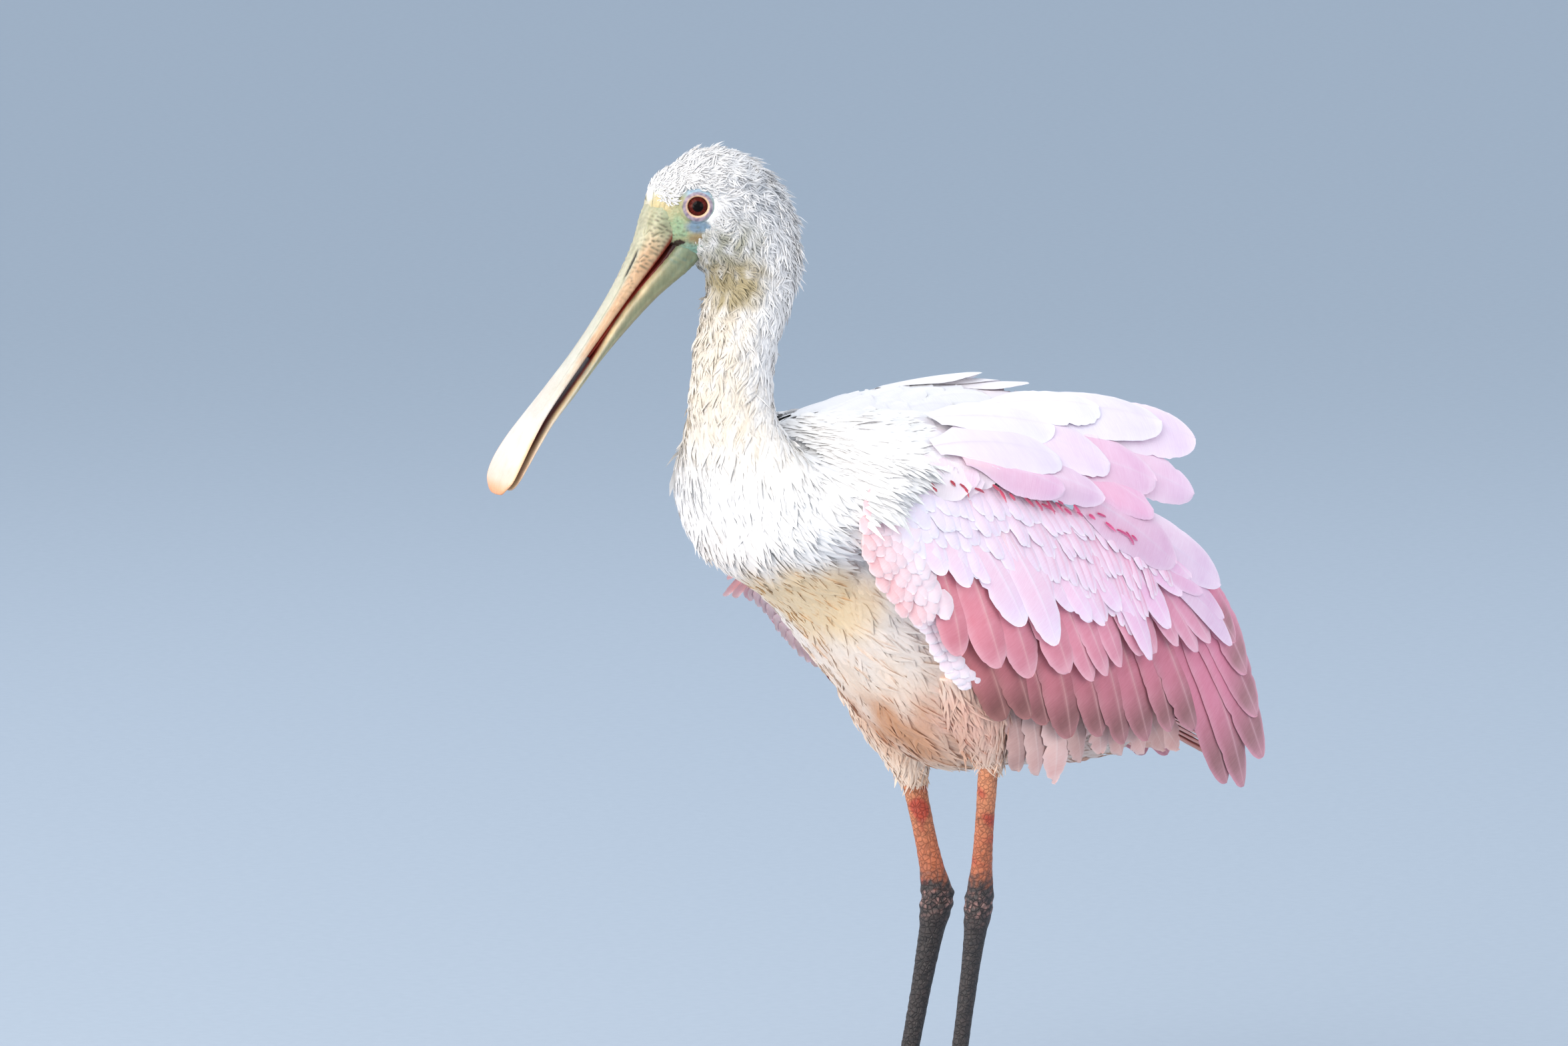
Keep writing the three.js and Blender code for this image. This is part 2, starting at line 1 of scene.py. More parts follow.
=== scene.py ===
import bpy
import numpy as np
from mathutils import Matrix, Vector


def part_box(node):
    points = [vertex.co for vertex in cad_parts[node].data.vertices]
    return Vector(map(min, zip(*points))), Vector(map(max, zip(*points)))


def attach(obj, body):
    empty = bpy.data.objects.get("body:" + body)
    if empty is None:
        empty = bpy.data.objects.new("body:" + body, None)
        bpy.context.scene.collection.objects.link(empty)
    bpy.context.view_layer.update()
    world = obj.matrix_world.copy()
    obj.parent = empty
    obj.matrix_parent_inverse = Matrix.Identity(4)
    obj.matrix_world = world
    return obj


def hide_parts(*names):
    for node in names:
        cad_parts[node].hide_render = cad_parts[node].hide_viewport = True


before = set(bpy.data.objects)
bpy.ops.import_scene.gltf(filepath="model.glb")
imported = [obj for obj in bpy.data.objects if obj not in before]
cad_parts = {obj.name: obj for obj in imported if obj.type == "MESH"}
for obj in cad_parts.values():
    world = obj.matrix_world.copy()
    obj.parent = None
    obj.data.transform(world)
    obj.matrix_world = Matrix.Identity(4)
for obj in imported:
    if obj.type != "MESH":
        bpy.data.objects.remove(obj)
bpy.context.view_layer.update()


# Camera
# A long lens eight metres off, a little above the bird and ahead of its left side, framed as the photograph
# is: the feet fall below the picture.
FRAME_WIDTH_MM = 764.0
SENSOR_MM = 36
CAMERA_DISTANCE_MM = 8000.0
CAMERA_BEARING = np.radians(40)         # from the bird's left towards its breast
CAMERA_RISE = np.radians(6)
AIM_RIGHT_MM = -73.0                    # the picture's middle, to the right of the feet and above the floor
AIM_UP_MM = 308.6
EYE_SPOT_MM = np.array([150.986, 1.368, 474.0])       # the middle of the left eye's solid, over the feet

eye_low, eye_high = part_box("eye_left")
EYE_IN_FRAME_MM = (np.array(eye_low) + np.array(eye_high)) * 500
ORIGIN_MM = (EYE_SPOT_MM - EYE_IN_FRAME_MM) * [1, 1, 0]


def in_frame(points_mm):
    """Points over the feet, in millimetres, as points of the frame, in metres."""
    return (np.asarray(points_mm, float) - ORIGIN_MM) / 1000


def add_camera():
    """A camera that looks at the aim from its bearing and rise, with the lens that fills the frame."""
    aim = np.array([
        -AIM_RIGHT_MM * np.cos(CAMERA_BEARING), AIM_RIGHT_MM * np.sin(CAMERA_BEARING),
        AIM_UP_MM / np.cos(CAMERA_RISE)])
    to_camera = np.array([
        np.sin(CAMERA_BEARING) * np.cos(CAMERA_RISE), np.cos(CAMERA_BEARING) * np.cos(CAMERA_RISE),
        np.sin(CAMERA_RISE)])
    data = bpy.data.cameras.new("camera")
    data.sensor_width = SENSOR_MM
    data.lens = SENSOR_MM * CAMERA_DISTANCE_MM / FRAME_WIDTH_MM
    data.clip_end = 100
    camera = bpy.data.objects.new("camera", data)
    camera.location = in_frame(aim + to_camera * CAMERA_DISTANCE_MM)
    camera.rotation_euler = (np.pi / 2 - CAMERA_RISE, 0, np.pi - CAMERA_BEARING)
    bpy.context.scene.collection.objects.link(camera)
    bpy.context.scene.camera = camera


add_camera()


# Floor
# A wide plain studio floor, matt paint on board, pale grey-blue so that white down stands clear of it.
FLOOR_HALF_M = 14.0


def linear(hex_colour):
    """An sRGB hex colour as linear values: a share over 0.04045 is raised to 2.4, the rest is divided."""
    srgb = np.array([int(hex_colour[i:i + 2], 16) for i in (1, 3, 5)]) / 255
    return np.where(srgb <= 0.04045, srgb / 12.92, ((srgb + 0.055) / 1.055) ** 2.4)


def rgba(hex_colour):
    """A hex colour as linear red, green and blue with a full fourth value."""
    return (*linear(hex_colour), 1.0)


def node(material, kind, settings=(), links=()):
    """Adds one node: settings are {socket or property: value}, with a ramp's stops as (place, hex colour),
    and links are {input: (node, output)}."""
    made = material.node_tree.nodes.new("ShaderNode" + kind)
    for name, value in dict(settings).items():
        if name == "stops":
            for element, (place, hex_colour) in zip(made.color_ramp.elements, value):
                element.position = place
                element.color = rgba(hex_colour)
        elif name in made.inputs:
            made.inputs[name].default_value = value
        else:
            setattr(made, name, value)
    for name, (source, output) in dict(links).items():
        material.node_tree.links.new(source.outputs[output], made.inputs[name])
    return made


def new_material(name):
    """An empty material of that name."""
    material = bpy.data.materials.new(name)
    material.use_nodes = True
    material.node_tree.nodes.clear()
    return material


def matt_paint():
    """Matt wall paint on board: no gloss, with a faint roller texture a few millimetres across."""
    material = new_material("floor_matt_paint")
    place = node(material, "TexCoord")
    roller = node(material, "TexNoise", {"Scale": 160.0, "Detail": 3.0}, {"Vector": (place, "Object")})
    bump = node(material, "Bump", {"Strength": 0.05, "Distance": 0.001}, {"Height": (roller, "Fac")})
    tone = node(material, "ValToRGB", {"stops": [(0.0, "#A8B4C1"), (1.0, "#B0BCC8")]},
                {"Fac": (roller, "Fac")})
    shader = node(material, "BsdfPrincipled", {
        "Roughness": 0.9, "Specular IOR Level": 0.2},
        {"Base Color": (tone, "Color"), "Normal": (bump, "Normal")})
    node(material, "OutputMaterial", {}, {"Surface": (shader, "BSDF")})
    return material


def add_floor():
    """One level square that takes the bird's shadow."""
    h = FLOOR_HALF_M
    data = bpy.data.meshes.new("floor")
    data.from_pydata([(-h, -h, 0), (h, -h, 0), (h, h, 0), (-h, h, 0)], [], [(0, 1, 2, 3)])
    data.materials.append(matt_paint())
    floor = bpy.data.objects.new("floor", data)
    bpy.context.scene.collection.objects.link(floor)


add_floor()


# Lights
# A high-key studio: softboxes above and low ahead of the camera's left, weaker ones from its right, the far
# side and behind, and a pale sky that fills the shadows.
LIGHTS = [
    # name, bearing from the breast towards the bird's left, rise, distance m, size m, watts, colour
    ("softbox_key", 22, 34, 3.0, 2.2, 53, "#FFFAF2"),
    ("softbox_low", 6, 0, 2.5, 1.4, 34, "#FFF2E6"),
    ("softbox_fill", 95, 8, 3.4, 2.6, 31, "#FFF0E8"),
    ("softbox_far", -62, 10, 2.8, 1.6, 18, "#FFF3EC"),
    ("softbox_back", 235, 40, 3.2, 1.8, 12, "#F4F6FF"),
]
SKY_COLOUR = "#E2ECF8"
SKY_STRENGTH = 1.02
LIGHT_AIM_UP_M = 0.3


def add_lights():
    """Each softbox is a disc on a sphere round the bird, at its bearing and rise, and faces the middle."""
    for name, bearing, rise, distance, size, watts, colour in LIGHTS:
        data = bpy.data.lights.new(name, "AREA")
        data.shape = "DISK"
        data.size = size
        data.energy = watts
        data.color = tuple(linear(colour))
        light = bpy.data.objects.new(name, data)
        b, r = np.radians(bearing), np.radians(rise)
        out = np.array([np.cos(b) * np.cos(r), np.sin(b) * np.cos(r), np.sin(r)])
        light.location = out * distance + [0, 0, LIGHT_AIM_UP_M]
        light.rotation_euler = (np.pi / 2 - r, 0, b + np.pi / 2)
        bpy.context.scene.collection.objects.link(light)
    world = bpy.data.worlds.new("pale_sky")
    world.use_nodes = True
    background = world.node_tree.nodes["Background"]
    background.inputs["Color"].default_value = rgba(SKY_COLOUR)
    background.inputs["Strength"].default_value = SKY_STRENGTH
    bpy.context.scene.world = world
    bpy.context.scene.view_settings.view_transform = "Standard"


add_lights()


# Skin
# One thin skin over trunk, neck and head, bare on the lores, chin and round the eyes, where it is wrinkled
# and turquoise, blue and olive. Elsewhere it is a pale ground that the down hides.
HEAD_TURN = np.radians(-22)
HEAD_PIVOT_X = 117.0
SKIN_RINGS = 360
SKIN_SIDES = 128
SHOULDER_LEFT_MM = 27.0                 # how far each shoulder stands out ahead of its wing
SHOULDER_RIGHT_MM = 9.0
SHOULDER_X, SHOULDER_Z = 102, 341
EYE_AHEAD_MM, EYE_OUT_MM, EYE_UP_MM = 31, 14, 474       # an eyeball's middle, seen from the head
EYE_OPEN_MM = 5.3
# Along the bird from tail to forehead: the back's x and z, the belly's x and z, the half width, the share of
# the head's turn, and how deep the coat lies over the skin.
BODY = np.array([
    (-128, 212, -127, 202, 5, 0, 2),
    (-118, 232, -113, 188, 19, 0, 4),
    (-100, 254, -92, 183, 30, 0, 6),
    (-78, 282, -66, 182, 39, 0, 7),
    (-54, 314, -42, 182, 48, 0, 8),
    (-16, 356, -4, 184, 55, 0, 8),
    (30, 376, 23, 198, 57, 0, 8),
    (66, 377, 57, 233, 56, 0, 8),
    (92, 371, 84, 262, 52, 0, 8),
    (102, 367, 105, 277, 50, 0, 8),
    (107, 365, 125, 289.5, 48, 0, 7.5),
    (109, 364.5, 138, 303, 45, 0, 7),
    (110, 365, 145, 323, 42, 0, 6.5),
    (110.5, 367, 150, 340, 35, 0, 6),
    (110, 371, 152, 355, 28, 0, 5),
    (109, 379, 152, 370, 23.5, 0, 4.5),
    (106.5, 391, 151, 385, 21.5, 0, 4),
    (102.5, 405, 148, 405, 22, 0, 4),
    (97.5, 418, 144, 418, 22.5, 0.2, 4),
    (94, 430, 140.5, 430, 22, 0.6, 3.6),
    (93, 442, 140.5, 437, 21.7, 1, 3.2),
    (93.5, 454, 143.5, 443, 22, 1, 2.8),
    (97, 469, 148.5, 446, 23.3, 1, 2.4),
    (104.5, 483, 152, 447.5, 24.2, 1, 2),
    (116, 494, 155, 449, 23.7, 1, 1.6),
    (129, 499.5, 158, 451, 21.5, 1, 1.2),
    (142.5, 499, 161.5, 454, 18.5, 1, 0.8),
    (153.5, 493.5, 165, 458.5, 14.5, 1, 0.4),
    (163, 487.5, 168, 464, 10.5, 1, 0.2),
    (168, 479, 169.5, 470, 5, 1, 0),
], float)


def through(stations, t):
    """Values on a smooth curve through evenly spaced stations, t from 0 to 1: between two stations, the
    cubic that leaves each one along the line between its neighbours."""
    stations = np.asarray(stations, float)
    last = len(stations) - 1
    place = np.clip(np.asarray(t, float), 0, 1) * last
    left = np.minimum(place.astype(int), last - 1)
    u = (place - left)[..., None]
    ends = np.vstack([2 * stations[0] - stations[1], stations, 2 * stations[-1] - stations[-2]])
    a, b, c, d = (ends[left + k] for k in range(4))
    return 0.5 * (2 * b + (c - a) * u + (2 * a - 5 * b + 4 * c - d) * u ** 2
                  + (3 * b - a - 3 * c + d) * u ** 3)


def stacked(*parts):
    """Arrays of matching shapes, spread to one shape and stacked on a last axis, as points or places."""
    return np.stack(np.broadcast_arrays(*parts), -1)


def turned(x, y, z, ahead, left, angle):
    """The point that lies ahead and left of another, where ahead points at an angle from +X towards +Y."""
    return stacked(x + ahead * np.cos(angle) - left * np.sin(angle),
                   y + ahead * np.sin(angle) + left * np.cos(angle), z)


def turned_head(x, y, z, share=1.0):
    """Turns points about the neck's upright axis by a share of the head's turn."""
    return turned(HEAD_PIVOT_X, 0, z, x - HEAD_PIVOT_X, y, HEAD_TURN * share)


def in_head(ahead, left, z):
    """A point given ahead of the neck's axis, left of the head's middle plane, and above the floor."""
    return turned(HEAD_PIVOT_X, 0, z, ahead, left, HEAD_TURN)


def seen_from_head(points):
    """Points as (ahead of the neck's axis, away from the head's middle plane, height)."""
    x, y, z = points[..., 0] - HEAD_PIVOT_X, points[..., 1], points[..., 2]
    cos, sin = np.cos(HEAD_TURN), np.sin(HEAD_TURN)
    return stacked(x * cos + y * sin, np.abs(y * cos - x * sin), z)


def eye_frame(side):
    """The middle of an eyeball and the way out of it, through the middle of its lids."""
    centre = in_head(EYE_AHEAD_MM, EYE_OUT_MM * side, EYE_UP_MM)
    return centre, in_head(EYE_AHEAD_MM + 0.25, (EYE_OUT_MM + 1) * side, EYE_UP_MM) - centre


def fade(value, start, end):
    """0 at the start, rising evenly to 1 at the end, and level beyond both."""
    return np.clip((value - start) / (end - start), 0, 1)


def body_surface(t, angle, buried=0.0):
    """The bird's outline surface: ring t is an ellipse from the back's line to the belly's, as wide as its
    half width, and angle goes round it from the back over the left side. Each shoulder is a rounded hump
    that fades away from its middle. buried is the share of the coat's depth that the surface lies inside."""
    back_x, back_z, belly_x, belly_z, half, turn, coat = np.moveaxis(through(BODY, t), -1, 0)
    up_x, up_z = (back_x - belly_x) / 2, (back_z - belly_z) / 2
    reach = np.hypot(up_x, up_z)
    tall = np.maximum(1 - buried * coat / reach, 0.1)
    wide = np.maximum(half - buried * coat, 0.3)
    x = (back_x + belly_x) / 2 + up_x * tall * np.cos(angle)
    z = (back_z + belly_z) / 2 + up_z * tall * np.cos(angle)
    sin = np.sin(angle)
    along = (x - SHOULDER_X) / np.where(x < SHOULDER_X, 14, 24)
    hump = np.exp(-along ** 2 - ((z - SHOULDER_Z) / 33) ** 2) * (1.6 * sin - 0.6 * sin ** 3)
    hump = hump * np.where(sin > 0, SHOULDER_LEFT_MM, SHOULDER_RIGHT_MM)
    return turned_head(x, wide * sin + hump, z, turn)


def noise(points, scale_mm, seed):
    """A smooth pattern from -1 to 1: six sine waves of about the scale in seeded directions, added."""
    draws = np.random.default_rng(seed)
    total = 0
    for _ in range(6):
        way = draws.normal(size=3)
        way *= draws.uniform(0.7, 1.5) / np.linalg.norm(way)
        total = total + np.sin(points @ way * (2 * np.pi / scale_mm) + draws.uniform(0, 6.3))
    return total / 3.2


def smooth_step(x):
    """A share of 0 to 1, eased at both ends."""
    x = np.clip(x, 0, 1)
    return x * x * (3 - 2 * x)


def blend(a, b, share):
    """From colour a to colour b by an eased share."""
    return a + (b - a) * smooth_step(share)[..., None]


def painted(colours, *marks):
    """Colours with marks blended over them in turn, each a hex colour and its share."""
    for hex_colour, share in marks:
        colours = blend(colours, linear(hex_colour), share)
    return colours


def spot(points, centre, radius):
    """1 at a centre, fading to 0 at a radius, which may differ along the three axes."""
    far = np.linalg.norm((points - np.asarray(centre, float)) / np.asarray(radius, float), axis=-1)
    return np.clip(1 - far, 0, 1)


def plumage(points, seed=3):
    """The markings of skin and down alike, as linear colours: white above, cream at the neck's front, ochre
    under the breast, tan and pink on the belly, with grey-olive on the cheek."""
    ripple = 0.5 + 0.5 * noise(points, 24, seed)
    fine = 0.5 + 0.5 * noise(points, 7, seed + 1)
    x, z = points[..., 0], points[..., 2]
    throat = np.clip((x - (122 - 0.12 * np.abs(z - 400))) / 20, 0, 1) * fade(z, 330, 370) * fade(z, 460, 420)
    under = np.clip((298 - z + 0.35 * (x - 60)) / 62, 0, 1)
    return painted(
        linear("#FBFAFA"),
        ("#F5F3F1", 0.6 * ripple),
        ("#F1E6D6", throat * (0.5 + 0.6 * fine)),
        ("#B7A883", 2.0 * spot(points, (140, 12, 436), (26, 32, 20)) * (0.4 + 0.8 * fine)),
        ("#B5B3A0", 1.3 * spot(points, (140, 12, 455), (24, 28, 17)) * (0.3 + 0.8 * fine)),
        ("#C9CDD3", 1.2 * spot(points, (122, 18, 480), (30, 26, 26)) * fine),
        ("#FFE6D0", under * (0.75 + 0.25 * ripple)),
        ("#FFE0B4", 2.2 * spot(points, (98, 22, 274), (44, 60, 36)) * (0.6 + 0.4 * ripple)),
        ("#D99E76", 1.8 * spot(points, (38, 12, 204), (62, 74, 36)) * (0.5 + 0.5 * ripple)),
        ("#EBBBA8", 1.3 * spot(points, (8, 46, 216), (54, 44, 44)) * (0.5 + 0.5 * fine)),
        ("#E2BEB2", 1.2 * spot(points, (-70, 10, 190), (64, 64, 42)) * (0.5 + 0.5 * ripple)))


FACE_FOLD_MM = 2.4                      # from one fold round the eye to the next


def face_colours(points, down):
    """Bare skin over the down's colours: blue above and below the eye, turquoise on the lores down to the
    gape and the chin, olive-yellow against the bill and on the forehead's edge."""
    here = seen_from_head(points)
    wrinkle = 0.5 + 0.5 * noise(points, 3.2, 11)
    patch = 0.5 + 0.5 * noise(points, 8, 12)
    # hex colour, strength, centre (ahead, left, height), radii, how much the patches break it up
    marks = [
        ("#A3A07A", 3.0, (43, 12, 464), (19, 17, 22), 0.0),
        ("#93AA86", 1.6, (40.5, 13, 463), (8, 13, 12), 0.5),
        ("#7FA090", 2.2, (34, 14, 449), (10, 15, 10), 0.3),
        ("#9BB5C6", 2.0, (30, 17, 481.5), (13, 12, 5.5), 0.3),
        ("#71879A", 2.2, (31.5, 19, 464), (8.5, 11, 4.8), 0.3),
        ("#8A7654", 1.9, (31, 18, 458), (7.5, 11, 4.2), 0.4),
        ("#C6B588", 1.7, (48, 8, 474), (8, 14, 9), 0.5),
        # Two thin near-black lines at the gape: painted shade in the slit of the mouth.
        ("#33231C", 4.0, (41.5, 12, 454.6), (3.6, 16, 1.7), 0.0),
        ("#33231C", 4.0, (38.8, 12, 456.2), (2.8, 16, 1.5), 0.0),
    ]
    colour = painted(down, *(
        (hex_colour, strength * spot(here, centre, radii) * (1 - broken + broken * 2 * patch * wrinkle))
        for hex_colour, strength, centre, radii, broken in marks))
    from_eye = np.hypot(here[..., 0] - EYE_AHEAD_MM, here[..., 2] - EYE_UP_MM)
    # Painted shade: dark olive lines where fine folds ring the eye, and in a finer wrinkle pattern, on the
    # bare face.
    folds = np.sin(from_eye * 2 * np.pi / FACE_FOLD_MM + 3.2 * noise(points, 9, 13))
    crease_shade = 0.9 * np.clip(folds - 0.25, 0, 1) * patch + 0.5 * np.clip(wrinkle - 0.6, 0, 1)
    return painted(colour, ("#565C4A", crease_shade * fade(here[..., 0], 22, 28)))


def mesh_piece(name, points_mm, quads, triangles, material, colours, patches=None, vanes=None, normals=None):
    """A mesh object at the origin from arrays of points, quads and triangles, with linear colours at its
    points as the attribute tint, and each point's place on the bake map and the vane map. Normals, where
    given, are what the points, or else the faces' corners, are shaded by."""
    points = in_frame(points_mm).reshape(-1, 3)
    corners = np.concatenate([np.ravel(quads), np.ravel(triangles)]).astype(np.int32)
    starts = np.concatenate([
        np.arange(0, np.size(quads), 4),
        np.size(quads) + np.arange(0, np.size(triangles), 3)]).astype(np.int32)
    data = bpy.data.meshes.new(name)
    data.vertices.add(len(points))
    data.vertices.foreach_set("co", points.astype(np.float32).ravel())
    data.loops.add(len(corners))
    data.loops.foreach_set("vertex_index", corners)
    data.polygons.add(len(starts))
    data.polygons.foreach_set("loop_start", starts)
    data.polygons.foreach_set("use_smooth", np.ones(len(starts), bool))
    for label, places in (("OFBake", patches), ("vane", vanes)):
        if places is not None:
            uv = data.uv_layers.new(name=label)
            uv.data.foreach_set("uv", places.reshape(-1, 2)[corners].astype(np.float32).ravel())
    tint = data.attributes.new("tint", "FLOAT_COLOR", "POINT")
    full = np.ones((len(points), 4), np.float32)
    full[:, :colours.shape[-1]] = np.clip(colours.reshape(len(points), -1), 0, 1)
    tint.data.foreach_set("color", full.ravel())
    data.update(calc_edges=True)
    data.validate(clean_customdata=False)
    if normals is not None and len(normals) == len(corners):
        data.normals_split_custom_set(normals)
    elif normals is not None:
        data.normals_split_custom_set_from_vertices(normals.reshape(-1, 3))
    data.materials.append(material)
    made = bpy.data.objects.new(name, data)
    bpy.context.scene.collection.objects.link(made)
    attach(made, "root")
    return made


def grid_faces(rows, columns, closed=True, looped=False, flip=False):
    """The quads of a grid of points. Closed joins its last column to its first, and looped its last row."""
    r = np.arange(rows if looped else rows - 1)[:, None]
    c = np.arange(columns if closed else columns - 1)[None, :]
    n, m = (c + 1) % columns, (r + 1) % rows
    quads = np.stack([r * columns + c, r * columns + n, m * columns + n, m * columns + c], -1).reshape(-1, 4)
    return quads[:, ::-1] if flip else quads


def add_tubes(name, tubes, material, flip=False):
    """One mesh of closed tubes, each given as grids (rows, sides, ...) of points, colours and bake places. A
    pole at the middle of its first and of its last ring closes each tube."""
    points, colours, patches, quads, triangles = [], [], [], [], []
    count = 0
    for tube_points, tube_colours, tube_patches in tubes:
        rows, sides = tube_points.shape[:2]
        for kept, grid in ((points, tube_points), (colours, tube_colours), (patches, tube_patches)):
            kept.append(np.vstack([grid.reshape(-1, grid.shape[-1]), grid[0].mean(0), grid[-1].mean(0)]))
        i = np.arange(sides)
        j = (i + 1) % sides
        end = (rows - 1) * sides
        first = np.stack([j, i, 0 * i + rows * sides], -1)
        last = np.stack([end + i, end + j, 0 * i + rows * sides + 1], -1)
        caps = np.vstack([first, last])
        quads.append(count + grid_faces(rows, sides, flip=flip))
        triangles.append(count + (caps[:, ::-1] if flip else caps))
        count += rows * sides + 2
    return mesh_piece(name, np.vstack(points), np.vstack(quads), np.vstack(triangles), material,
                      np.vstack(colours), np.vstack(patches))


def body_patch(t, angle):
    """The place on the bake map: the skin unrolled, its length along the map and the way round it upwards."""
    return stacked(0.02 + 0.7 * t, 0.02 + 0.96 * (angle % (2 * np.pi)) / (2 * np.pi))


def unrolled(run, angle, low=0.02, size=0.96):
    """The place on the bake map of a tube: its length fills the map from low on, the way round goes up."""
    return stacked(low + size * run, 0.02 + 0.96 * angle / (2 * np.pi))


def way_round(sides):
    """Angles round a ring, as one row of a grid."""
    return np.linspace(0, 2 * np.pi, sides, endpoint=False)[None, :]


def unit(ways):
    """Directions at length one."""
    return ways / np.linalg.norm(ways, axis=-1, keepdims=True)


LEGS = [
    # name, side, end of the thigh's feathers, ankle
    ("left", 1, np.array([-10.5, 29, 194.0]), np.array([-14.5, 17.5, 125.0])),
    ("right", -1, np.array([-11, -28, 180.0]), np.array([-18, -17.5, 124.0])),
]
FOOT_TURN = np.radians(25)
THIGH_COAT_MM = 3.5


def thigh_skin(stations, side, run, angle):
    """The skin of a thigh, by the share of the way down it and the angle round it. Each station is a point
    of the bone and the half depth and half width with the coat. Rings are level and turned as the foot
    is."""
    x, y, z, deep, wide = np.moveaxis(through(stations, run), -1, 0)
    ahead, left = (deep - THIGH_COAT_MM) * np.cos(angle), (wide - THIGH_COAT_MM) * np.sin(angle)
    return turned(x, y, z, ahead, left, side * FOOT_TURN)


def thigh_stations(side, end):
    """Stations from the knee to the end of the feathers, as (point, half depth, half width)."""
    knee = np.array([8, side * 33, 240.0])
    sizes = [(0, 27, 18), (0.33, 24, 19), (0.6, 19, 16), (0.8, 13.5, 12.5), (1, 8.5, 8)]
    return [(*(knee + (end - knee) * share), deep, wide) for share, deep, wide in sizes]


def thigh_patch(side, run, angle):
    """The place on the bake map of a thigh, which has its own strip."""
    return unrolled(run, angle, 0.76 if side > 0 else 0.88, 0.1)


def thigh_tubes():
    """Both thighs as tubes, with their colours and bake places."""
    run, angle = np.linspace(0, 1, 40)[:, None], way_round(36)
    for _, side, end, _ in LEGS:
        points = thigh_skin(thigh_stations(side, end), side, run, angle)
        yield points, plumage(points), thigh_patch(side, run, angle)


def skin_piece():
    """Rings of the body surface, closer together on the head, sunk by the coat's depth, wrinkled on the
    face, and pressed in under each eyeball so that the ball shows inside its lids."""
    run = np.linspace(0, 1, SKIN_RINGS)
    t = np.clip(0.004 + 0.992 * (1 - (1 - run) ** 1.35), 0, 1)[:, None]
    angle = way_round(SKIN_SIDES)
    points = body_surface(t, angle, buried=1.0)
    out = unit(points - points.mean(1, keepdims=True))
    points = points + out * (fade(t, 0.86, 0.91) * 0.22 * noise(points, 2.6, 21))[..., None]
    for side in (1, -1):
        eye, axis = eye_frame(side)
        axis = unit(axis)
        along = (points - eye) @ axis
        off = np.linalg.norm(points - eye - along[..., None] * axis, axis=-1)
        sink = fade(off, EYE_OPEN_MM + 0.8, EYE_OPEN_MM - 0.8) * (along > 0)
        points = points - (sink * np.maximum(along - 1.0, 0))[..., None] * axis
    colours = face_colours(points, plumage(points))
    return add_tubes("skin", [(points, colours, body_patch(t, angle)), *thigh_tubes()], bare_skin(),
                     flip=True)


def bare_skin():
    """Living skin of the face: thin, moist and finely folded, so it glows a little and has a soft gloss."""
    material = new_material("bare_facial_skin")
    place = node(material, "TexCoord")
    tint = node(material, "Attribute", {"attribute_name": "tint"})
    folds = node(material, "TexVoronoi", {"Scale": 900.0, "feature": "SMOOTH_F1"},
                 {"Vector": (place, "Object")})
    soft = node(material, "TexNoise", {"Scale": 420.0, "Detail": 5.0, "Roughness": 0.6},
                {"Vector": (place, "Object")})
    tone = node(material, "MixRGB", {"blend_type": "SOFT_LIGHT", "Fac": 0.45},
                {"Color1": (tint, "Color"), "Color2": (soft, "Fac")})
    bump = node(material, "Bump", {"Strength": 0.5, "Distance": 0.0006}, {"Height": (folds, "Distance")})
    shader = node(material, "BsdfPrincipled", {
        "Roughness": 0.45, "IOR": 1.4, "Subsurface Weight": 0.12, "Subsurface Scale": 0.002},
        {"Base Color": (tone, "Color"), "Normal": (bump, "Normal")})
    node(material, "OutputMaterial", {}, {"Surface": (shader, "BSDF")})
    return material


skin = skin_piece()
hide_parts("head", "neck_upper", "neck_lower", "torso", "thigh_left", "thigh_right")


# Eyes
# Each eye is a wet ball under a clear cornea, with a dark red-brown iris round a black pupil. It sits in a
# bare lid: a thin cream-orange rim inside a lilac-grey ring.
EYE_RADIUS_MM = 7.2
PUPIL_MM = 2.5
IRIS_MM = 5.0


def round_grid(centre, axis, off, along, angle):
    """Points round an axis: off is the distance from it, along the height on it, angle the way round."""
    axis = unit(axis)
    first = unit(np.cross(axis, [0, 0, 1.0]))
    second = np.cross(first, axis)
    round_it = first * np.cos(angle)[..., None] + second * np.sin(angle)[..., None]
    return centre + axis * along[..., None] + round_it * off[..., None]


def wet_eye():
    """A living eye: the tint shows through a clear wet cornea, whose sharp gloss sits above the colour."""
    material = new_material("wet_eye")
    tint = node(material, "Attribute", {"attribute_name": "tint"})
    shader = node(material, "BsdfPrincipled", {
        "Roughness": 0.5, "IOR": 1.1, "Coat Weight": 0.4, "Coat Roughness": 0.02, "Coat IOR": 1.28},
        {"Base Color": (tint, "Color")})
    node(material, "OutputMaterial", {}, {"Surface": (shader, "BSDF")})
    return material


def lid_skin():
    """The rim of the lid: thin moist skin over the ball, finely creased round it."""
    material = new_material("moist_lid_skin")
    place = node(material, "TexCoord")
    tint = node(material, "Attribute", {"attribute_name": "tint"})
    crease = node(material, "TexNoise", {"Scale": 700.0, "Detail": 4.0}, {"Vector": (place, "Object")})
    bump = node(material, "Bump", {"Strength": 0.4, "Distance": 0.0004}, {"Height": (crease, "Fac")})
    shader = node(material, "BsdfPrincipled", {
        "Roughness": 0.4, "IOR": 1.4, "Subsurface Weight": 0.15, "Subsurface Scale": 0.0015},
        {"Base Color": (tint, "Color"), "Normal": (bump, "Normal")})
    node(material, "OutputMaterial", {}, {"Surface": (shader, "BSDF")})
    return material


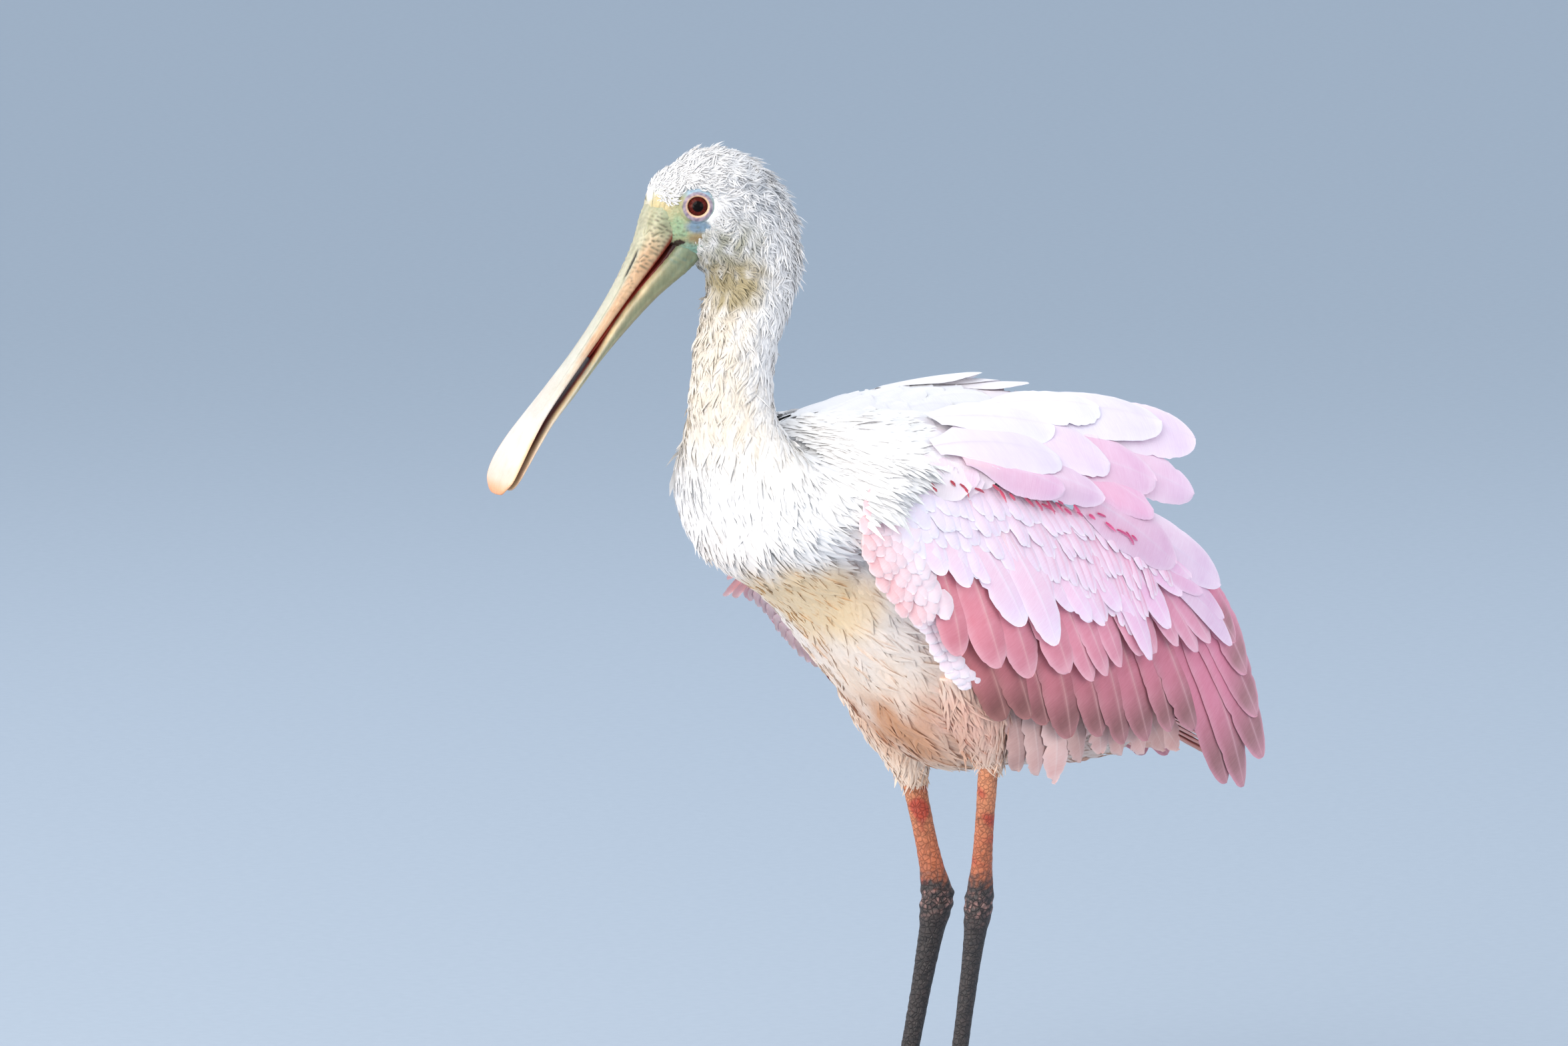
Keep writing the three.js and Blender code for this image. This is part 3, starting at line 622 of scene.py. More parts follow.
def add_eye(name, side, ball_material, ring_material):
    """The ball is a sphere with a shallow bulge over the iris. The lid is a ring whose height over the eye's
    centre follows a profile from the ball out to the skin."""
    centre, axis = eye_frame(side)
    polar = np.linspace(0.002, np.pi - 0.002, 48)[:, None]
    angle = way_round(72)
    radius = EYE_RADIUS_MM + 0.35 * np.clip(1 - polar / 0.72, 0, 1) ** 0.7 + 0 * angle
    off = radius * np.sin(polar)
    points = round_grid(centre, axis, off, radius * np.cos(polar), angle + 0 * polar)
    streak = 0.5 + 0.5 * np.sin(angle * 31 + 2.1 * np.sin(angle * 7)) * np.sin(angle * 17 + 1)
    iris = painted(linear("#5E1C12"), ("#3A0E09", streak + 0 * polar), ("#1E0705", off - 3.9))
    colours = np.where((off < PUPIL_MM)[..., None], linear("#070303"), iris)
    colours = np.where((off > IRIS_MM)[..., None] | (polar > 1.5)[..., None], linear("#2A1A18"), colours)
    patches = stacked(off * np.cos(angle), off * np.sin(angle)) * 0.03 + 0.25
    patches[..., 0] += 0.5 * (polar > np.pi / 2)
    ball = add_tubes(name + "_ball", [(points, colours, patches)], ball_material)
    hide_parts(name)

    # off, height over the centre, colour share from the rim to the ring
    profile = [
        (4.6, 5.0, 0), (4.75, 5.6, 0), (5.05, 6.05, 0.1), (5.4, 6.3, 0.35), (5.8, 6.4, 0.8), (6.3, 6.25, 1),
        (6.8, 5.9, 1), (7.3, 5.6, 0.95), (7.8, 5.2, 0.9), (8.4, 4.4, 0.9), (9, 3.2, 0.9), (8.2, 2.4, 0.9),
        (6, 3.6, 0), (4.6, 5.0, 0)]
    run = np.linspace(0, 1, 37)[:-1, None]
    off, high, share = np.moveaxis(through(profile, run), -1, 0)
    lower = np.clip(-np.sin(angle), 0, 1)
    ring_off = off * (1 + 0.03 * np.cos(2 * angle)) + 0.3 * lower * np.clip(off - 5.4, 0, 1.5)
    ripple = noise(stacked(np.cos(angle) * 6, np.sin(angle) * 6, off * 1.6), 2.4, 31)
    high = high + 0.12 * ripple * np.clip(off - 5, 0, 1)
    points = round_grid(centre, axis, ring_off, high, angle + 0 * high)
    ring = painted(linear("#A3949F"), ("#756A7A", 0.5 + 0.5 * ripple))
    outer = blend(ring, face_colours(points, linear("#93A3A0")), fade(off, 6.6, 7.5) + 0 * angle)
    colours = blend(linear("#E8C3A0"), outer, share + 0 * angle)
    quads = grid_faces(36, 72, looped=True)
    lid = mesh_piece(name.replace("eye", "lid"), points, quads, np.zeros((0, 3)), ring_material, colours,
                     unrolled(run * 36 / 35, angle)[..., ::-1])


wet = wet_eye()
moist = lid_skin()
add_eye("eye_left", 1, wet, moist)
add_eye("eye_right", -1, wet, moist)


# Bill
# Two long mandibles of horn that widen to a flat spoon: the upper ridged at its root, with a slit nostril
# and a groove, the lower a little open, with a red lining along its edge.
BILL_PITCH = np.radians(62)
BILL_ROOT_AHEAD = 51.3
BILL_ROOT_Z = 475.5
BILL_LENGTH_MM = 159.0
NOSTRIL_S_MM = 31.0
RIDGE_MM = 2.5
# distance from the forehead, half width, height of the back and of the edge
UPPER_BILL = [
    (-14, 12, -6, -22), (2, 12.6, -0.5, -20), (20, 11.6, -3.6, -17), (40, 10, -4.6, -13),
    (60, 9.2, -3.6, -9.5), (80, 9.6, -1.4, -6), (100, 12.2, 1.6, -2.2), (116, 15.4, 4, 0.8),
    (130, 19.6, 5.4, 2.6), (142, 22, 5.8, 3.2), (151, 20.5, 5.2, 2.8), (156, 14, 4.2, 2.2),
    (158.4, 8, 3.3, 1.5), (159, 1, 2.6, 2.2),
]
LOWER_BILL = [
    (-10, 8, -25, -36), (4, 10.5, -21, -37), (20, 10.8, -17.8, -33), (40, 9.6, -13.2, -24.5),
    (60, 8.8, -10, -18.4), (80, 9.2, -8.4, -13), (100, 11.6, -4.8, -8.6), (116, 14.4, -1.4, -4.4),
    (130, 18.6, 0.9, -1.9), (142, 20.5, 1.9, -0.7), (150, 18.5, 1.7, -0.6), (154.4, 12.5, 1.1, -0.6),
    (155.2, 1, 0.4, 0),
]
MOUTH = [
    (-8, 6, -20, -28), (8, 7.5, -18, -25), (24, 7.5, -15.5, -21), (42, 6.5, -12.2, -16), (62, 5, -9, -12),
    (80, 3, -6, -8.5),
]


def in_bill(s, left, up):
    """A point s along the bill from the forehead, left of its middle, and up towards the culmen."""
    return in_head(
        BILL_ROOT_AHEAD + s * np.cos(BILL_PITCH) + up * np.sin(BILL_PITCH), left,
        BILL_ROOT_Z - s * np.sin(BILL_PITCH) + up * np.cos(BILL_PITCH))


def bill_grid(stations, rows, sides, square):
    """Rings along a mandible, closer at the tip: a rounded box section, more square the lower the power."""
    run, angle = np.linspace(0, 1, rows)[:, None], way_round(sides)
    s, half, top, bottom = np.moveaxis(through(stations, 1 - (1 - run) ** 1.25), -1, 0)
    cos, sin = np.cos(angle), np.sin(angle)
    left = half * np.sign(sin) * np.abs(sin) ** square
    up = (top + bottom) / 2 + (top - bottom) / 2 * np.sign(cos) * np.abs(cos) ** square
    return np.broadcast_arrays(s, left, up, half, cos, run, angle)


def raised(left, up, rise):
    """Moves each point of a ring away from the ring's middle height by a rise."""
    middle_up = up.mean(1, keepdims=True)
    grow = 1 + rise / np.maximum(np.hypot(left, up - middle_up), 1.5)
    return left * grow, middle_up + (up - middle_up) * grow


def colour_run(hexes, share):
    """The colour at a share of the way through a row of hex colours."""
    return through([linear(hex_colour) for hex_colour in hexes], share)


def keratin():
    """Horn sheath of a bill: satin, grown in fine lengthwise fibres, with a slight depth to its colour."""
    material = new_material("bill_keratin")
    place = node(material, "TexCoord")
    tint = node(material, "Attribute", {"attribute_name": "tint"})
    lengthwise = node(material, "Mapping",
                      {"Rotation": (0.0, np.pi / 2 - BILL_PITCH, -HEAD_TURN), "Scale": (1, 1, 0.12)},
                  {"Vector": (place, "Object")})
    fibre = node(material, "TexNoise", {"Scale": 900.0, "Detail": 4.0, "Roughness": 0.6},
                 {"Vector": (lengthwise, "Vector")})
    patch = node(material, "TexNoise", {"Scale": 120.0, "Detail": 4.0, "Roughness": 0.6},
                 {"Vector": (place, "Object")})
    mixed = node(material, "MixRGB", {"blend_type": "SOFT_LIGHT", "Fac": 0.5},
                 {"Color1": (tint, "Color"), "Color2": (patch, "Fac")})
    grain = node(material, "MixRGB", {"blend_type": "SOFT_LIGHT", "Fac": 0.35},
                 {"Color1": (mixed, "Color"), "Color2": (fibre, "Fac")})
    bump = node(material, "Bump", {"Strength": 0.35, "Distance": 0.0004}, {"Height": (fibre, "Fac")})
    shader = node(material, "BsdfPrincipled", {
        "Roughness": 0.38, "IOR": 1.54, "Subsurface Weight": 0.1, "Subsurface Scale": 0.002},
        {"Base Color": (grain, "Color"), "Normal": (bump, "Normal")})
    node(material, "OutputMaterial", {}, {"Surface": (shader, "BSDF")})
    return material


def upper_mandible(material):
    """Ridges cross the root and fade by mid bill; a groove runs along each side at two thirds of the half
    width; the nostril is a narrow pit; the spoon's rim is raised."""
    s, left, up, half, cos, run, angle = bill_grid(UPPER_BILL, 300, 92, 0.76)
    across = np.abs(left) / half
    places = stacked(s, left * 1.4, up)
    wavy = noise(places, 16, 41)
    root = fade(s, 66, 22) * fade(s, -2, 6) * np.clip(1.15 - np.abs(cos - 0.2), 0, 1)
    ridges = np.sin(s * 2 * np.pi / RIDGE_MM + 3.8 * wavy + across * 4.2 + 2.2 * noise(places, 7, 42))
    groove = np.exp(-((across - 0.62) / 0.07) ** 2) * (cos > 0) * fade(s, 18, 28) * fade(s, 150, 142)
    rim = fade(across, 0.86, 1) * fade(s, 112, 132) * (cos > -0.2)
    slit = np.exp(-(((s - NOSTRIL_S_MM) / 7.5) ** 4) - ((across - 0.5) / 0.09) ** 2) * (cos > 0.2)
    fine = noise(places, 1.9, 43)
    rise = 0.45 * root * ridges - 0.45 * groove + 0.35 * rim - 1.5 * slit + 0.05 * fine
    left, up = raised(left, up, rise)

    side = fade(across, 0.55, 0.95)
    mottled = 0.5 + 0.5 * noise(places, 9, 45)
    colours = painted(
        colour_run(("#BDB997", "#C6C1A0", "#CBC6AA", "#CFCBB4", "#D3D0BE", "#DAD6C8", "#E3D9CC", "#ECDFD6",
                    "#EFDED4", "#EDC6A2"), s / BILL_LENGTH_MM) * 0.85,
        ("#93A585", 0.9 * side * fade(s, 18, 0) * (0.4 + 0.6 * mottled)),
        ("#C39A74", 0.85 * side * fade(s, 6, 24) * fade(s, 112, 72)),
        ("#8B8B6C", 0.6 * mottled * fade(s, 44, 14)),
        # Painted shade in the troughs between the root's ridges.
        ("#5B573F", 0.9 * root * np.clip(-ridges, 0, 1)),
        # Painted shade in the groove.
        ("#8F8E78", 0.6 * groove * np.clip((130 - s) / 60, 0.25, 1)),
        ("#F0BE94", 0.9 * rim),
        ("#E29A68", 0.9 * fade(s, 151, 157)),
        ("#B4B6A6", 0.25 * (0.5 + 0.5 * wavy) * fade(s, 60, 90) * (1 - rim)),
        # Near black in the nostril: painted shade in its pit.
        ("#0E0A08", 1.3 * slit),
        ("#8E3324", fade(cos, -0.25, -0.65) * fade(s, 150, 120)))
    return add_tubes("bill_upper_horn", [(in_bill(s, left, up), colours, unrolled(run, angle))], material,
                     flip=True)


def lower_mandible(material):
    """A slimmer spoon under the upper one, with a fold along each side and a red lining on its edge."""
    s, left, up, _, cos, run, angle = bill_grid(LOWER_BILL, 270, 80, 0.76)
    places = stacked(s, left * 1.4, up)
    wavy = noise(places, 14, 51)
    wrinkle = noise(places * [1, 1, 1.6], 3.4, 52)
    root = fade(s, 36, 16)
    fold = np.exp(-((cos + 0.1) / 0.22) ** 2) * fade(s, 120, 90)
    rise = -0.35 * fold + 0.2 * root * wrinkle + 0.12 * wavy * fade(s, 60, 30) + 0.05 * noise(places, 1.9, 53)
    left, up = raised(left, up, rise)
    edge = fade(cos, 0.1, 0.5) * fade(s, 16, 40)
    colours = painted(
        colour_run(("#7C9C84", "#889070", "#908E6C", "#9C987A", "#B2AC92", "#C6BFA8", "#DACAB2", "#EACEB2",
                    "#ECC29C"),
                   s / 156) * 0.8,
        # Painted shade in the fold along each side.
        ("#6A7054", 0.7 * fold),
        ("#D8C094", edge * (0.6 + 0.4 * wavy)),
        # Painted shade in the furrows of the root's wrinkles.
        ("#5C7466", 0.7 * root * np.clip(-wrinkle, 0, 1)),
        ("#A9402A", fade(cos, 0.72, 0.92) * fade(s, 148, 128)),
        ("#5A1812", fade(cos, 0.9, 1.0) * fade(s, 130, 100)))
    return add_tubes("bill_lower_horn", [(in_bill(s, left, up), colours, unrolled(run, angle))], material,
                     flip=True)


def mouth_lining(material):
    """A dark maroon tongue of moist skin that closes the mouth from the gape forward."""
    s, left, up, _, _, run, angle = bill_grid(MOUTH, 60, 32, 0.9)
    points = in_bill(s, left, up + 0.25 * noise(stacked(s, left, up), 5, 55))
    # The lining's own dark maroon and red, near black towards the gape: painted shade deep in the mouth.
    colours = colour_run(("#1C0C0B", "#35110F", "#8E3022", "#B4452F", "#8E3226"), run)
    return add_tubes("mouth_lining", [(points, colours, unrolled(run, angle))], material, flip=True)


horn = keratin()
for mandible, replaced in ((upper_mandible(horn), "bill_upper"), (lower_mandible(horn), "bill_lower")):
    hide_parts(replaced)
mouth_lining(moist)


# Down of the head and neck
# Short loose tufts of white down, curled on the crown and cheek, straighter down the neck and shaggy on the
# nape, each a thin flat lock that grows from the skin and leans back along it.
T_STEP, ANGLE_STEP = 0.001, 0.01
PATCH_SIZE = 0.0015                     # half of a lock's or a contour feather's place on the bake map


def quasi_random(count, seed):
    """Evenly strewn pairs of 0 to 1: each steps on from the last by two shares of the plastic number."""
    steps = np.array([0.7548776662466927, 0.5698402909980532])
    return (np.arange(count)[:, None] * steps + np.random.default_rng(seed).uniform(size=2)) % 1


def strewn_roots(count, t_low, t_high, seed):
    """Roots spread evenly over the body surface between two rings, as (t, angle): the area up to each ring,
    and the way round each ring, are turned round to find where each root falls."""
    t = np.linspace(t_low, t_high, 160)
    angle = np.linspace(0, 2 * np.pi, 97)
    grid = body_surface(t[:, None], angle, 1.0)
    along = np.linalg.norm(np.diff(grid, axis=0), axis=-1)
    round_it = np.linalg.norm(np.diff(grid, axis=1), axis=-1)
    areas = 0.5 * (along[:, 1:] + along[:, :-1]) * 0.5 * (round_it[1:] + round_it[:-1])
    up_to = np.concatenate([[0], np.cumsum(areas.sum(1))])
    pairs = quasi_random(count, seed)
    root_t = np.interp(pairs[:, 0] * up_to[-1], up_to, t)
    row = np.clip(np.searchsorted(t, root_t) - 1, 0, len(areas) - 1)
    shares = np.concatenate([np.zeros((len(areas), 1)), np.cumsum(areas, 1)], 1)
    shares /= shares[:, -1:]
    mine = shares[row]
    cell = np.clip((mine < pairs[:, 1:2]).sum(1) - 1, 0, len(angle) - 2)
    low, high = mine[np.arange(count), cell], mine[np.arange(count), cell + 1]
    part = (pairs[:, 1] - low) / np.maximum(high - low, 1e-9)
    return root_t, angle[cell] + part * (angle[1] - angle[0])


def body_steps(t, angle, buried):
    """How the surface moves over a small step of t towards the tail, and over a small step round it."""
    back = body_surface(t - T_STEP, angle, buried) - body_surface(t + T_STEP, angle, buried)
    aside = body_surface(t, angle + ANGLE_STEP, buried) - body_surface(t, angle - ANGLE_STEP, buried)
    return back, aside


def body_frames(t, angle):
    """At each root: its point on the skin, the way to the tail along it, the way round it, and outwards."""
    back, aside = body_steps(t, angle, 1.0)
    back = unit(back)
    out = unit(np.cross(aside, back))
    return body_surface(t, angle, 1.0), back, np.cross(back, out), out


LOCK_RINGS = np.array([0.0, 0.3, 0.65, 1.0])
LOCK_WIDTHS = np.array([0.6, 1.0, 0.72, 0.06])


def locks(name, frames, patch, length, width, lift, droop, curl, shade, soft, material, seed):
    """One mesh of flat tapered locks. Each is four three-cornered rings round a path that leaves the skin at
    a slope of lift, bends back to it by droop, and curls aside by a sine of its length. The softer a lock,
    the more it is shaded as the skin under it is, but for its flat underside, which is shaded as it lies."""
    count = len(length)
    root, back, aside, out = (way[:, None, None, :] for way in frames)
    sizes = (length, width, lift, droop, curl, shade, soft)
    reach, width, lift, droop, curl, shade, soft = (
        np.broadcast_to(size, count)[:, None, None, None] for size in sizes)
    draws = np.random.default_rng(seed)
    s = LOCK_RINGS[None, :, None, None]
    corner = np.radians([0, 90, 180])[None, None, :, None]
    swing = draws.normal(size=(count, 1, 1, 1)) * 0.22
    phase = draws.uniform(0, 6.3, (count, 1, 1, 1))
    path = root + back * reach * s * 0.95 + out * (reach * (lift * s - droop * s * s) - 0.6)
    path = path + aside * reach * (swing * s + curl * (np.sin(2.6 * s + phase) - np.sin(phase)))
    half = 0.5 * width * LOCK_WIDTHS[None, :, None, None]
    tilt = draws.normal(size=(count, 1, 1, 1)) * 0.4
    flat = aside * np.cos(tilt) + out * np.sin(tilt)
    deep = out * np.cos(tilt) - aside * np.sin(tilt)
    points = path + flat * half * np.cos(corner) + deep * half * 0.42 * np.sin(corner)
    normals = unit(out * soft + (1.2 - soft) * (flat * np.cos(corner) + deep * np.sin(corner)) + 0 * points)
    # Painted shade: each lock is a little darker towards its root, deep in the coat.
    colours = plumage(points) * (shade * (0.93 + 0.07 * s))
    patches = patch[:, None, None, :] + PATCH_SIZE * stacked(2 * s[..., 0] - 1, np.cos(corner[..., 0]))
    corners = 3 * len(LOCK_RINGS)
    first = corners * np.arange(count)[:, None, None]
    quads = (first + grid_faces(4, 3, flip=True)).reshape(-1, 4)
    ends = (first + np.array([[0, 1, 2], [corners - 1, corners - 2, corners - 3]])).reshape(-1, 3)
    at_corners = normals.reshape(-1, 3)[quads].reshape(count, 3, 3, 4, 3)
    under = points.reshape(-1, 3)[quads].reshape(count, 3, 3, 4, 3)[:, :, 2]
    under_way = np.cross(under[:, :, 2] - under[:, :, 0], under[:, :, 3] - under[:, :, 1])
    at_corners[:, :, 2] = unit(under_way)[:, :, None]
    at_corners = np.concatenate([at_corners.reshape(-1, 3), normals.reshape(-1, 3)[ends].reshape(-1, 3)])
    piece = mesh_piece(name, points, quads, ends, material, colours, patches, normals=at_corners)
    return piece


def down_keratin():
    """White down: loose matt barbs that scatter light, with a soft sheen at their edges, faintly mottled."""
    material = new_material("white_down")
    place = node(material, "TexCoord")
    tint = node(material, "Attribute", {"attribute_name": "tint"})
    mottle = node(material, "TexNoise", {"Scale": 700.0, "Detail": 3.0}, {"Vector": (place, "Object")})
    tone = node(material, "MixRGB", {"blend_type": "SOFT_LIGHT", "Fac": 0.25},
                {"Color1": (tint, "Color"), "Color2": (mottle, "Fac")})
    shader = node(material, "BsdfPrincipled", {
        "Roughness": 0.75, "Sheen Weight": 0.25, "Sheen Roughness": 0.5, "Specular IOR Level": 0.25},
        {"Base Color": (tone, "Color")})
    node(material, "OutputMaterial", {}, {"Surface": (shader, "BSDF")})
    return material


# Where the face is bare: ahead of this line, which runs down past the eye to the chin, as (height, ahead)
FACE_LINE = np.array([(430, 33), (441, 31.5), (449, 30.7), (457, 28.8), (464, 25.4), (470, 21.5),
                      (486, 20.5)])
# and below this one, which runs forward over the eye to the bill, as (ahead, height)
BROW_LINE = np.array([(20, 479), (22, 480), (33, 481.8), (39, 479.9), (43, 477.2), (52, 479.2), (58, 480)])


def bareness(points):
    """How far ahead of the feathers' edge a point lies, in millimetres; negative in the feathers."""
    here = seen_from_head(points)
    ahead = here[..., 0] - np.interp(here[..., 2], FACE_LINE[:, 0], FACE_LINE[:, 1])
    below = np.interp(here[..., 0], BROW_LINE[:, 0], BROW_LINE[:, 1]) - here[..., 2]
    return np.minimum(ahead, below) - 0.8 * noise(points, 5, 61)


# Length, width, lift, curl and softness of the locks along the bird, from the vent to the forehead
LOCK_SIZES = np.array([
    (0.03, 15, 3.6, 0.10, 0.05, 0.8), (0.30, 17, 4.2, 0.06, 0.04, 0.85),
    (0.44, 15, 3.8, 0.06, 0.04, 0.85), (0.50, 13, 2.9, 0.10, 0.05, 0.8),
    (0.56, 10, 2.2, 0.18, 0.07, 0.65), (0.64, 8.0, 1.7, 0.26, 0.12, 0.55),
    (0.70, 7.0, 1.6, 0.36, 0.18, 0.45), (0.78, 6.0, 1.5, 0.42, 0.2, 0.38),
    (0.90, 5.0, 1.4, 0.46, 0.28, 0.3), (1.0, 3.6, 1.2, 0.36, 0.24, 0.3),
])


def add_body_down(material):
    """Six stretches of locks, longer and looser on the nape, with none on the bare face, by the eyes or
    under the back's contour feathers. A noise of a few millimetres lifts and turns neighbours alike."""
    # name, ring from and to, count
    parts = [
        ("down_head", 0.765, 0.992, 9800), ("down_throat", 0.64, 0.775, 7200),
        ("down_neck", 0.53, 0.65, 6800), ("down_breast", 0.42, 0.54, 7800),
        ("down_flanks", 0.24, 0.425, 10000), ("down_belly", 0.04, 0.245, 9400),
    ]
    for order, (name, t_low, t_high, count) in enumerate(parts):
        t, angle = strewn_roots(count, t_low, t_high, 100 + order)
        root, back, aside, out = body_frames(t, angle)
        draws = np.random.default_rng(200 + order)
        bare = bareness(root) - 3.0 * fade(root[:, 2], 446, 458)
        eyes = (in_head(31.25, 19 * side, EYE_UP_MM) for side in (1, -1))
        from_eye = np.minimum(*(np.linalg.norm(root - eye, axis=-1) for eye in eyes))
        under = np.interp(t, [0.24, 0.28], [1, 0]) * (np.abs(angle - np.pi) > np.radians(106))
        length_mm, width_mm, lift_share, curl, soft = (
            np.interp(t, LOCK_SIZES[:, 0], LOCK_SIZES[:, k]) for k in (1, 2, 3, 4, 5))
        nape = np.clip(np.cos(angle), 0, 1) ** 2 * fade(t, 0.60, 0.68) * fade(t, 0.86, 0.80)
        edge = np.clip(0.45 - bare / 8, 0.45, 1)
        clump = 0.5 + 0.5 * noise(root, 8, 71)
        length = length_mm * draws.uniform(0.65, 1.3, count) * (1 + 0.4 * nape) * edge
        width = width_mm * draws.uniform(0.7, 1.3, count)
        lift = lift_share * (0.3 + 1.2 * clump * draws.uniform(0.6, 1, count)) * (1 + 0.5 * nape)
        lift = lift + np.interp(t, [0.38, 0.52], [0.17, 0.27])
        droop = np.interp(t, [0.38, 0.52], [0.21, 0.34])
        turn = 0.8 * noise(root, 12, 72) * np.interp(t, [0.5, 0.8], [0.2, 1])
        turn = turn + 0.12 * draws.normal(size=count)
        way = back * np.cos(turn)[:, None] + aside * np.sin(turn)[:, None]
        across = aside * np.cos(turn)[:, None] - back * np.sin(turn)[:, None]
        # Each lock's tone differs a little at random. Painted shade on top: locks of clumps that lie low are
        # a little darker, and the down is darker from the flanks forward over breast, neck and head, and near
        # each eye, which tones down the strong light there.
        shade = draws.uniform(0.92, 1.0, count) * (0.94 + 0.06 * clump)
        shade = shade * np.interp(t, [0.28, 0.38, 0.5, 0.66, 0.8], [1.0, 0.88, 0.84, 0.86, 0.88])
        shade = shade * np.interp(from_eye, [8, 20], [0.86, 1])
        keep = np.flatnonzero((bare < 0) & (under < 0.5) & (from_eye > 8.0))
        sizes = (v[keep] for v in (body_patch(t, angle), length, width, lift, droop, curl, shade, soft))
        locks(name, [v[keep] for v in (root, way, across, out)], *sizes, material, 300 + order)


down = down_keratin()
add_body_down(down)


# Contour feathers of the trunk
# Soft rounded vanes that overlap like shingles over the back and rump, with loose barbs along their
# margins.


def vane_grid(form, length, width, lift, roll, draws):
    """The vanes' own coordinates (feather, row, column): along the shaft, across it, height and half width.
    A row follows the barbs, which lean to the tip; half width grows from a narrow root, then rounds off to
    the tip; the margin is ragged and has a few splits; a camber drops both margins."""
    count = len(length)
    sizes = (length, width, lift, roll)
    length, width, lift, roll = (np.broadcast_to(size, count)[:, None, None] for size in sizes)
    s = (1 - (1 - np.linspace(0, 1, form["rows"])) ** 1.5)[None, :, None]
    w = np.array(form["across"])[None, None, :]
    blunt = form["blunt"]
    grown = form["root"] + (1 - form["root"]) * smooth_step(s / form["full"])
    tip = np.sqrt(np.clip(1 - (np.clip(s - blunt, 0, 1) / (1 - blunt)) ** 2.2, 0.0006, 1))
    half = 0.5 * width * grown * tip
    edge = 1.0
    for _ in range(form["splits"]):
        place = draws.uniform(0.3, 0.98, (count, 1, 1))
        side = draws.choice([-1, 1], (count, 1, 1))
        depth = draws.uniform(0, form["split_depth"], (count, 1, 1))
        edge = edge - depth * np.exp(-((s - place) / 0.022) ** 2) * (w * side > 0) * np.abs(w) ** 1.5
    ragged = form["ragged"] * draws.normal(size=(count, form["rows"], 2))
    jag = np.where(w < 0, ragged[:, :, :1], ragged[:, :, 1:]) * np.abs(w) ** 3
    across = half * w * (edge + jag)
    along = length * s + form["sweep"] * np.abs(across) * (1 - s)
    bend = form["bend"] * length * 4 * s * (1 - s) * draws.uniform(0.4, 1.3, (count, 1, 1))
    waves, phase = draws.uniform(3, 7, (count, 1, 1)), draws.uniform(0, 6.3, (count, 1, 1))
    wave = form["wave"] * np.sin(s * waves + w * 1.5 + phase)
    high = lift + form["rise"] * s ** 1.3 + wave * s + roll * w * half / half.max()
    high = high - form["camber"] * w * w * half / 10 + form["curl"] * smooth_step((s - 0.7) / 0.3)
    return np.broadcast_arrays(along, across + bend, high, s, w, half)


def two_faced(name, upper, lower, colours, cells, vanes, material, mirrored=False, out=None):
    """One mesh of thin closed vanes from grids (feather, row, column): upper and lower faces that meet at
    the rim. Soft vanes are shaded as the sheet they lie on, by its outward normals."""
    count, rows, columns = upper.shape[:3]
    size = rows * columns
    one = grid_faces(rows, columns, closed=False, flip=mirrored)
    first = size * np.arange(count)[:, None, None]
    top = (first + one).reshape(-1, 4)
    below = (first + count * size + one[:, ::-1]).reshape(-1, 4)
    normals = None if out is None else np.stack([out, -out])
    return mesh_piece(name, np.stack([upper, lower]), np.vstack([top, below]), np.zeros((0, 3)), material,
                      np.stack([colours, colours]), cells, np.stack([vanes, vanes]), normals)


def thickness(form, s, w):
    """Half a vane's thickness: most at the shaft's root, none at the rim, where the two faces meet."""
    thick = form["thick"] / 2 * (1 - 0.6 * w * w) * (1 - 0.6 * s)
    thick[:, :, 0] = thick[:, :, -1] = 0
    thick[:, 0, :] = thick[:, -1, :] = 0
    return thick


CONTOUR = {
    "rows": 9, "across": (-1, -0.6, -0.25, 0, 0.25, 0.6, 1), "root": 0.35, "full": 0.5, "blunt": 0.45,
    "splits": 3, "split_depth": 0.35, "ragged": 0.09, "sweep": 0.5, "bend": 0.03, "wave": 0.5, "rise": 3.0,
    "camber": 1.2, "curl": 0.6, "thick": 0.35,
}


def body_vanes(name, form, t, angle, length, width, lift, turn, shade, material, seed):
    """Vanes that hug the body: each point's way along and across the shaft is turned a little, and moves it
    over the body surface from its root, where its height is measured from the skin."""
    draws = np.random.default_rng(seed)
    roll = draws.normal(size=len(t)) * 0.5
    along, across, high, s, w, _ = vane_grid(form, length, width, lift, roll, draws)
    back, aside = (np.linalg.norm(step, axis=-1)[:, None, None] for step in body_steps(t, angle, 0.5))
    per_t, per_angle = np.maximum(back / (2 * T_STEP), 250), np.maximum(aside / (2 * ANGLE_STEP), 8)
    cos, sin = np.cos(turn)[:, None, None], np.sin(turn)[:, None, None]
    at_t = np.clip(t[:, None, None] - (along * cos - across * sin) / per_t, 0.012, 0.99)
    at_angle = angle[:, None, None] + (across * cos + along * sin) / per_angle
    coat = np.maximum(through(BODY, at_t)[..., 6], 1)
    thick = thickness(form, s, w)
    upper = body_surface(at_t, at_angle, 1 - (high + thick) / coat)
    lower = body_surface(at_t, at_angle, 1 - (high - thick) / coat)
    # Painted shade: each vane is a little darker towards its root, under the vanes that overlap it.
    colours = plumage(upper) * (shade[:, None, None, None] * (0.9 + 0.1 * smooth_step(s))[..., None])
    patch = body_patch(t, angle)[:, None, None, :] + PATCH_SIZE * stacked(2 * s - 1, w)
    out = unit(body_surface(at_t, at_angle, -1.0) - body_surface(at_t, at_angle, 1.0))
    return two_faced(name, upper, lower, colours, np.stack([patch, patch]), stacked(across, along) / 100,
                     material, out=out)


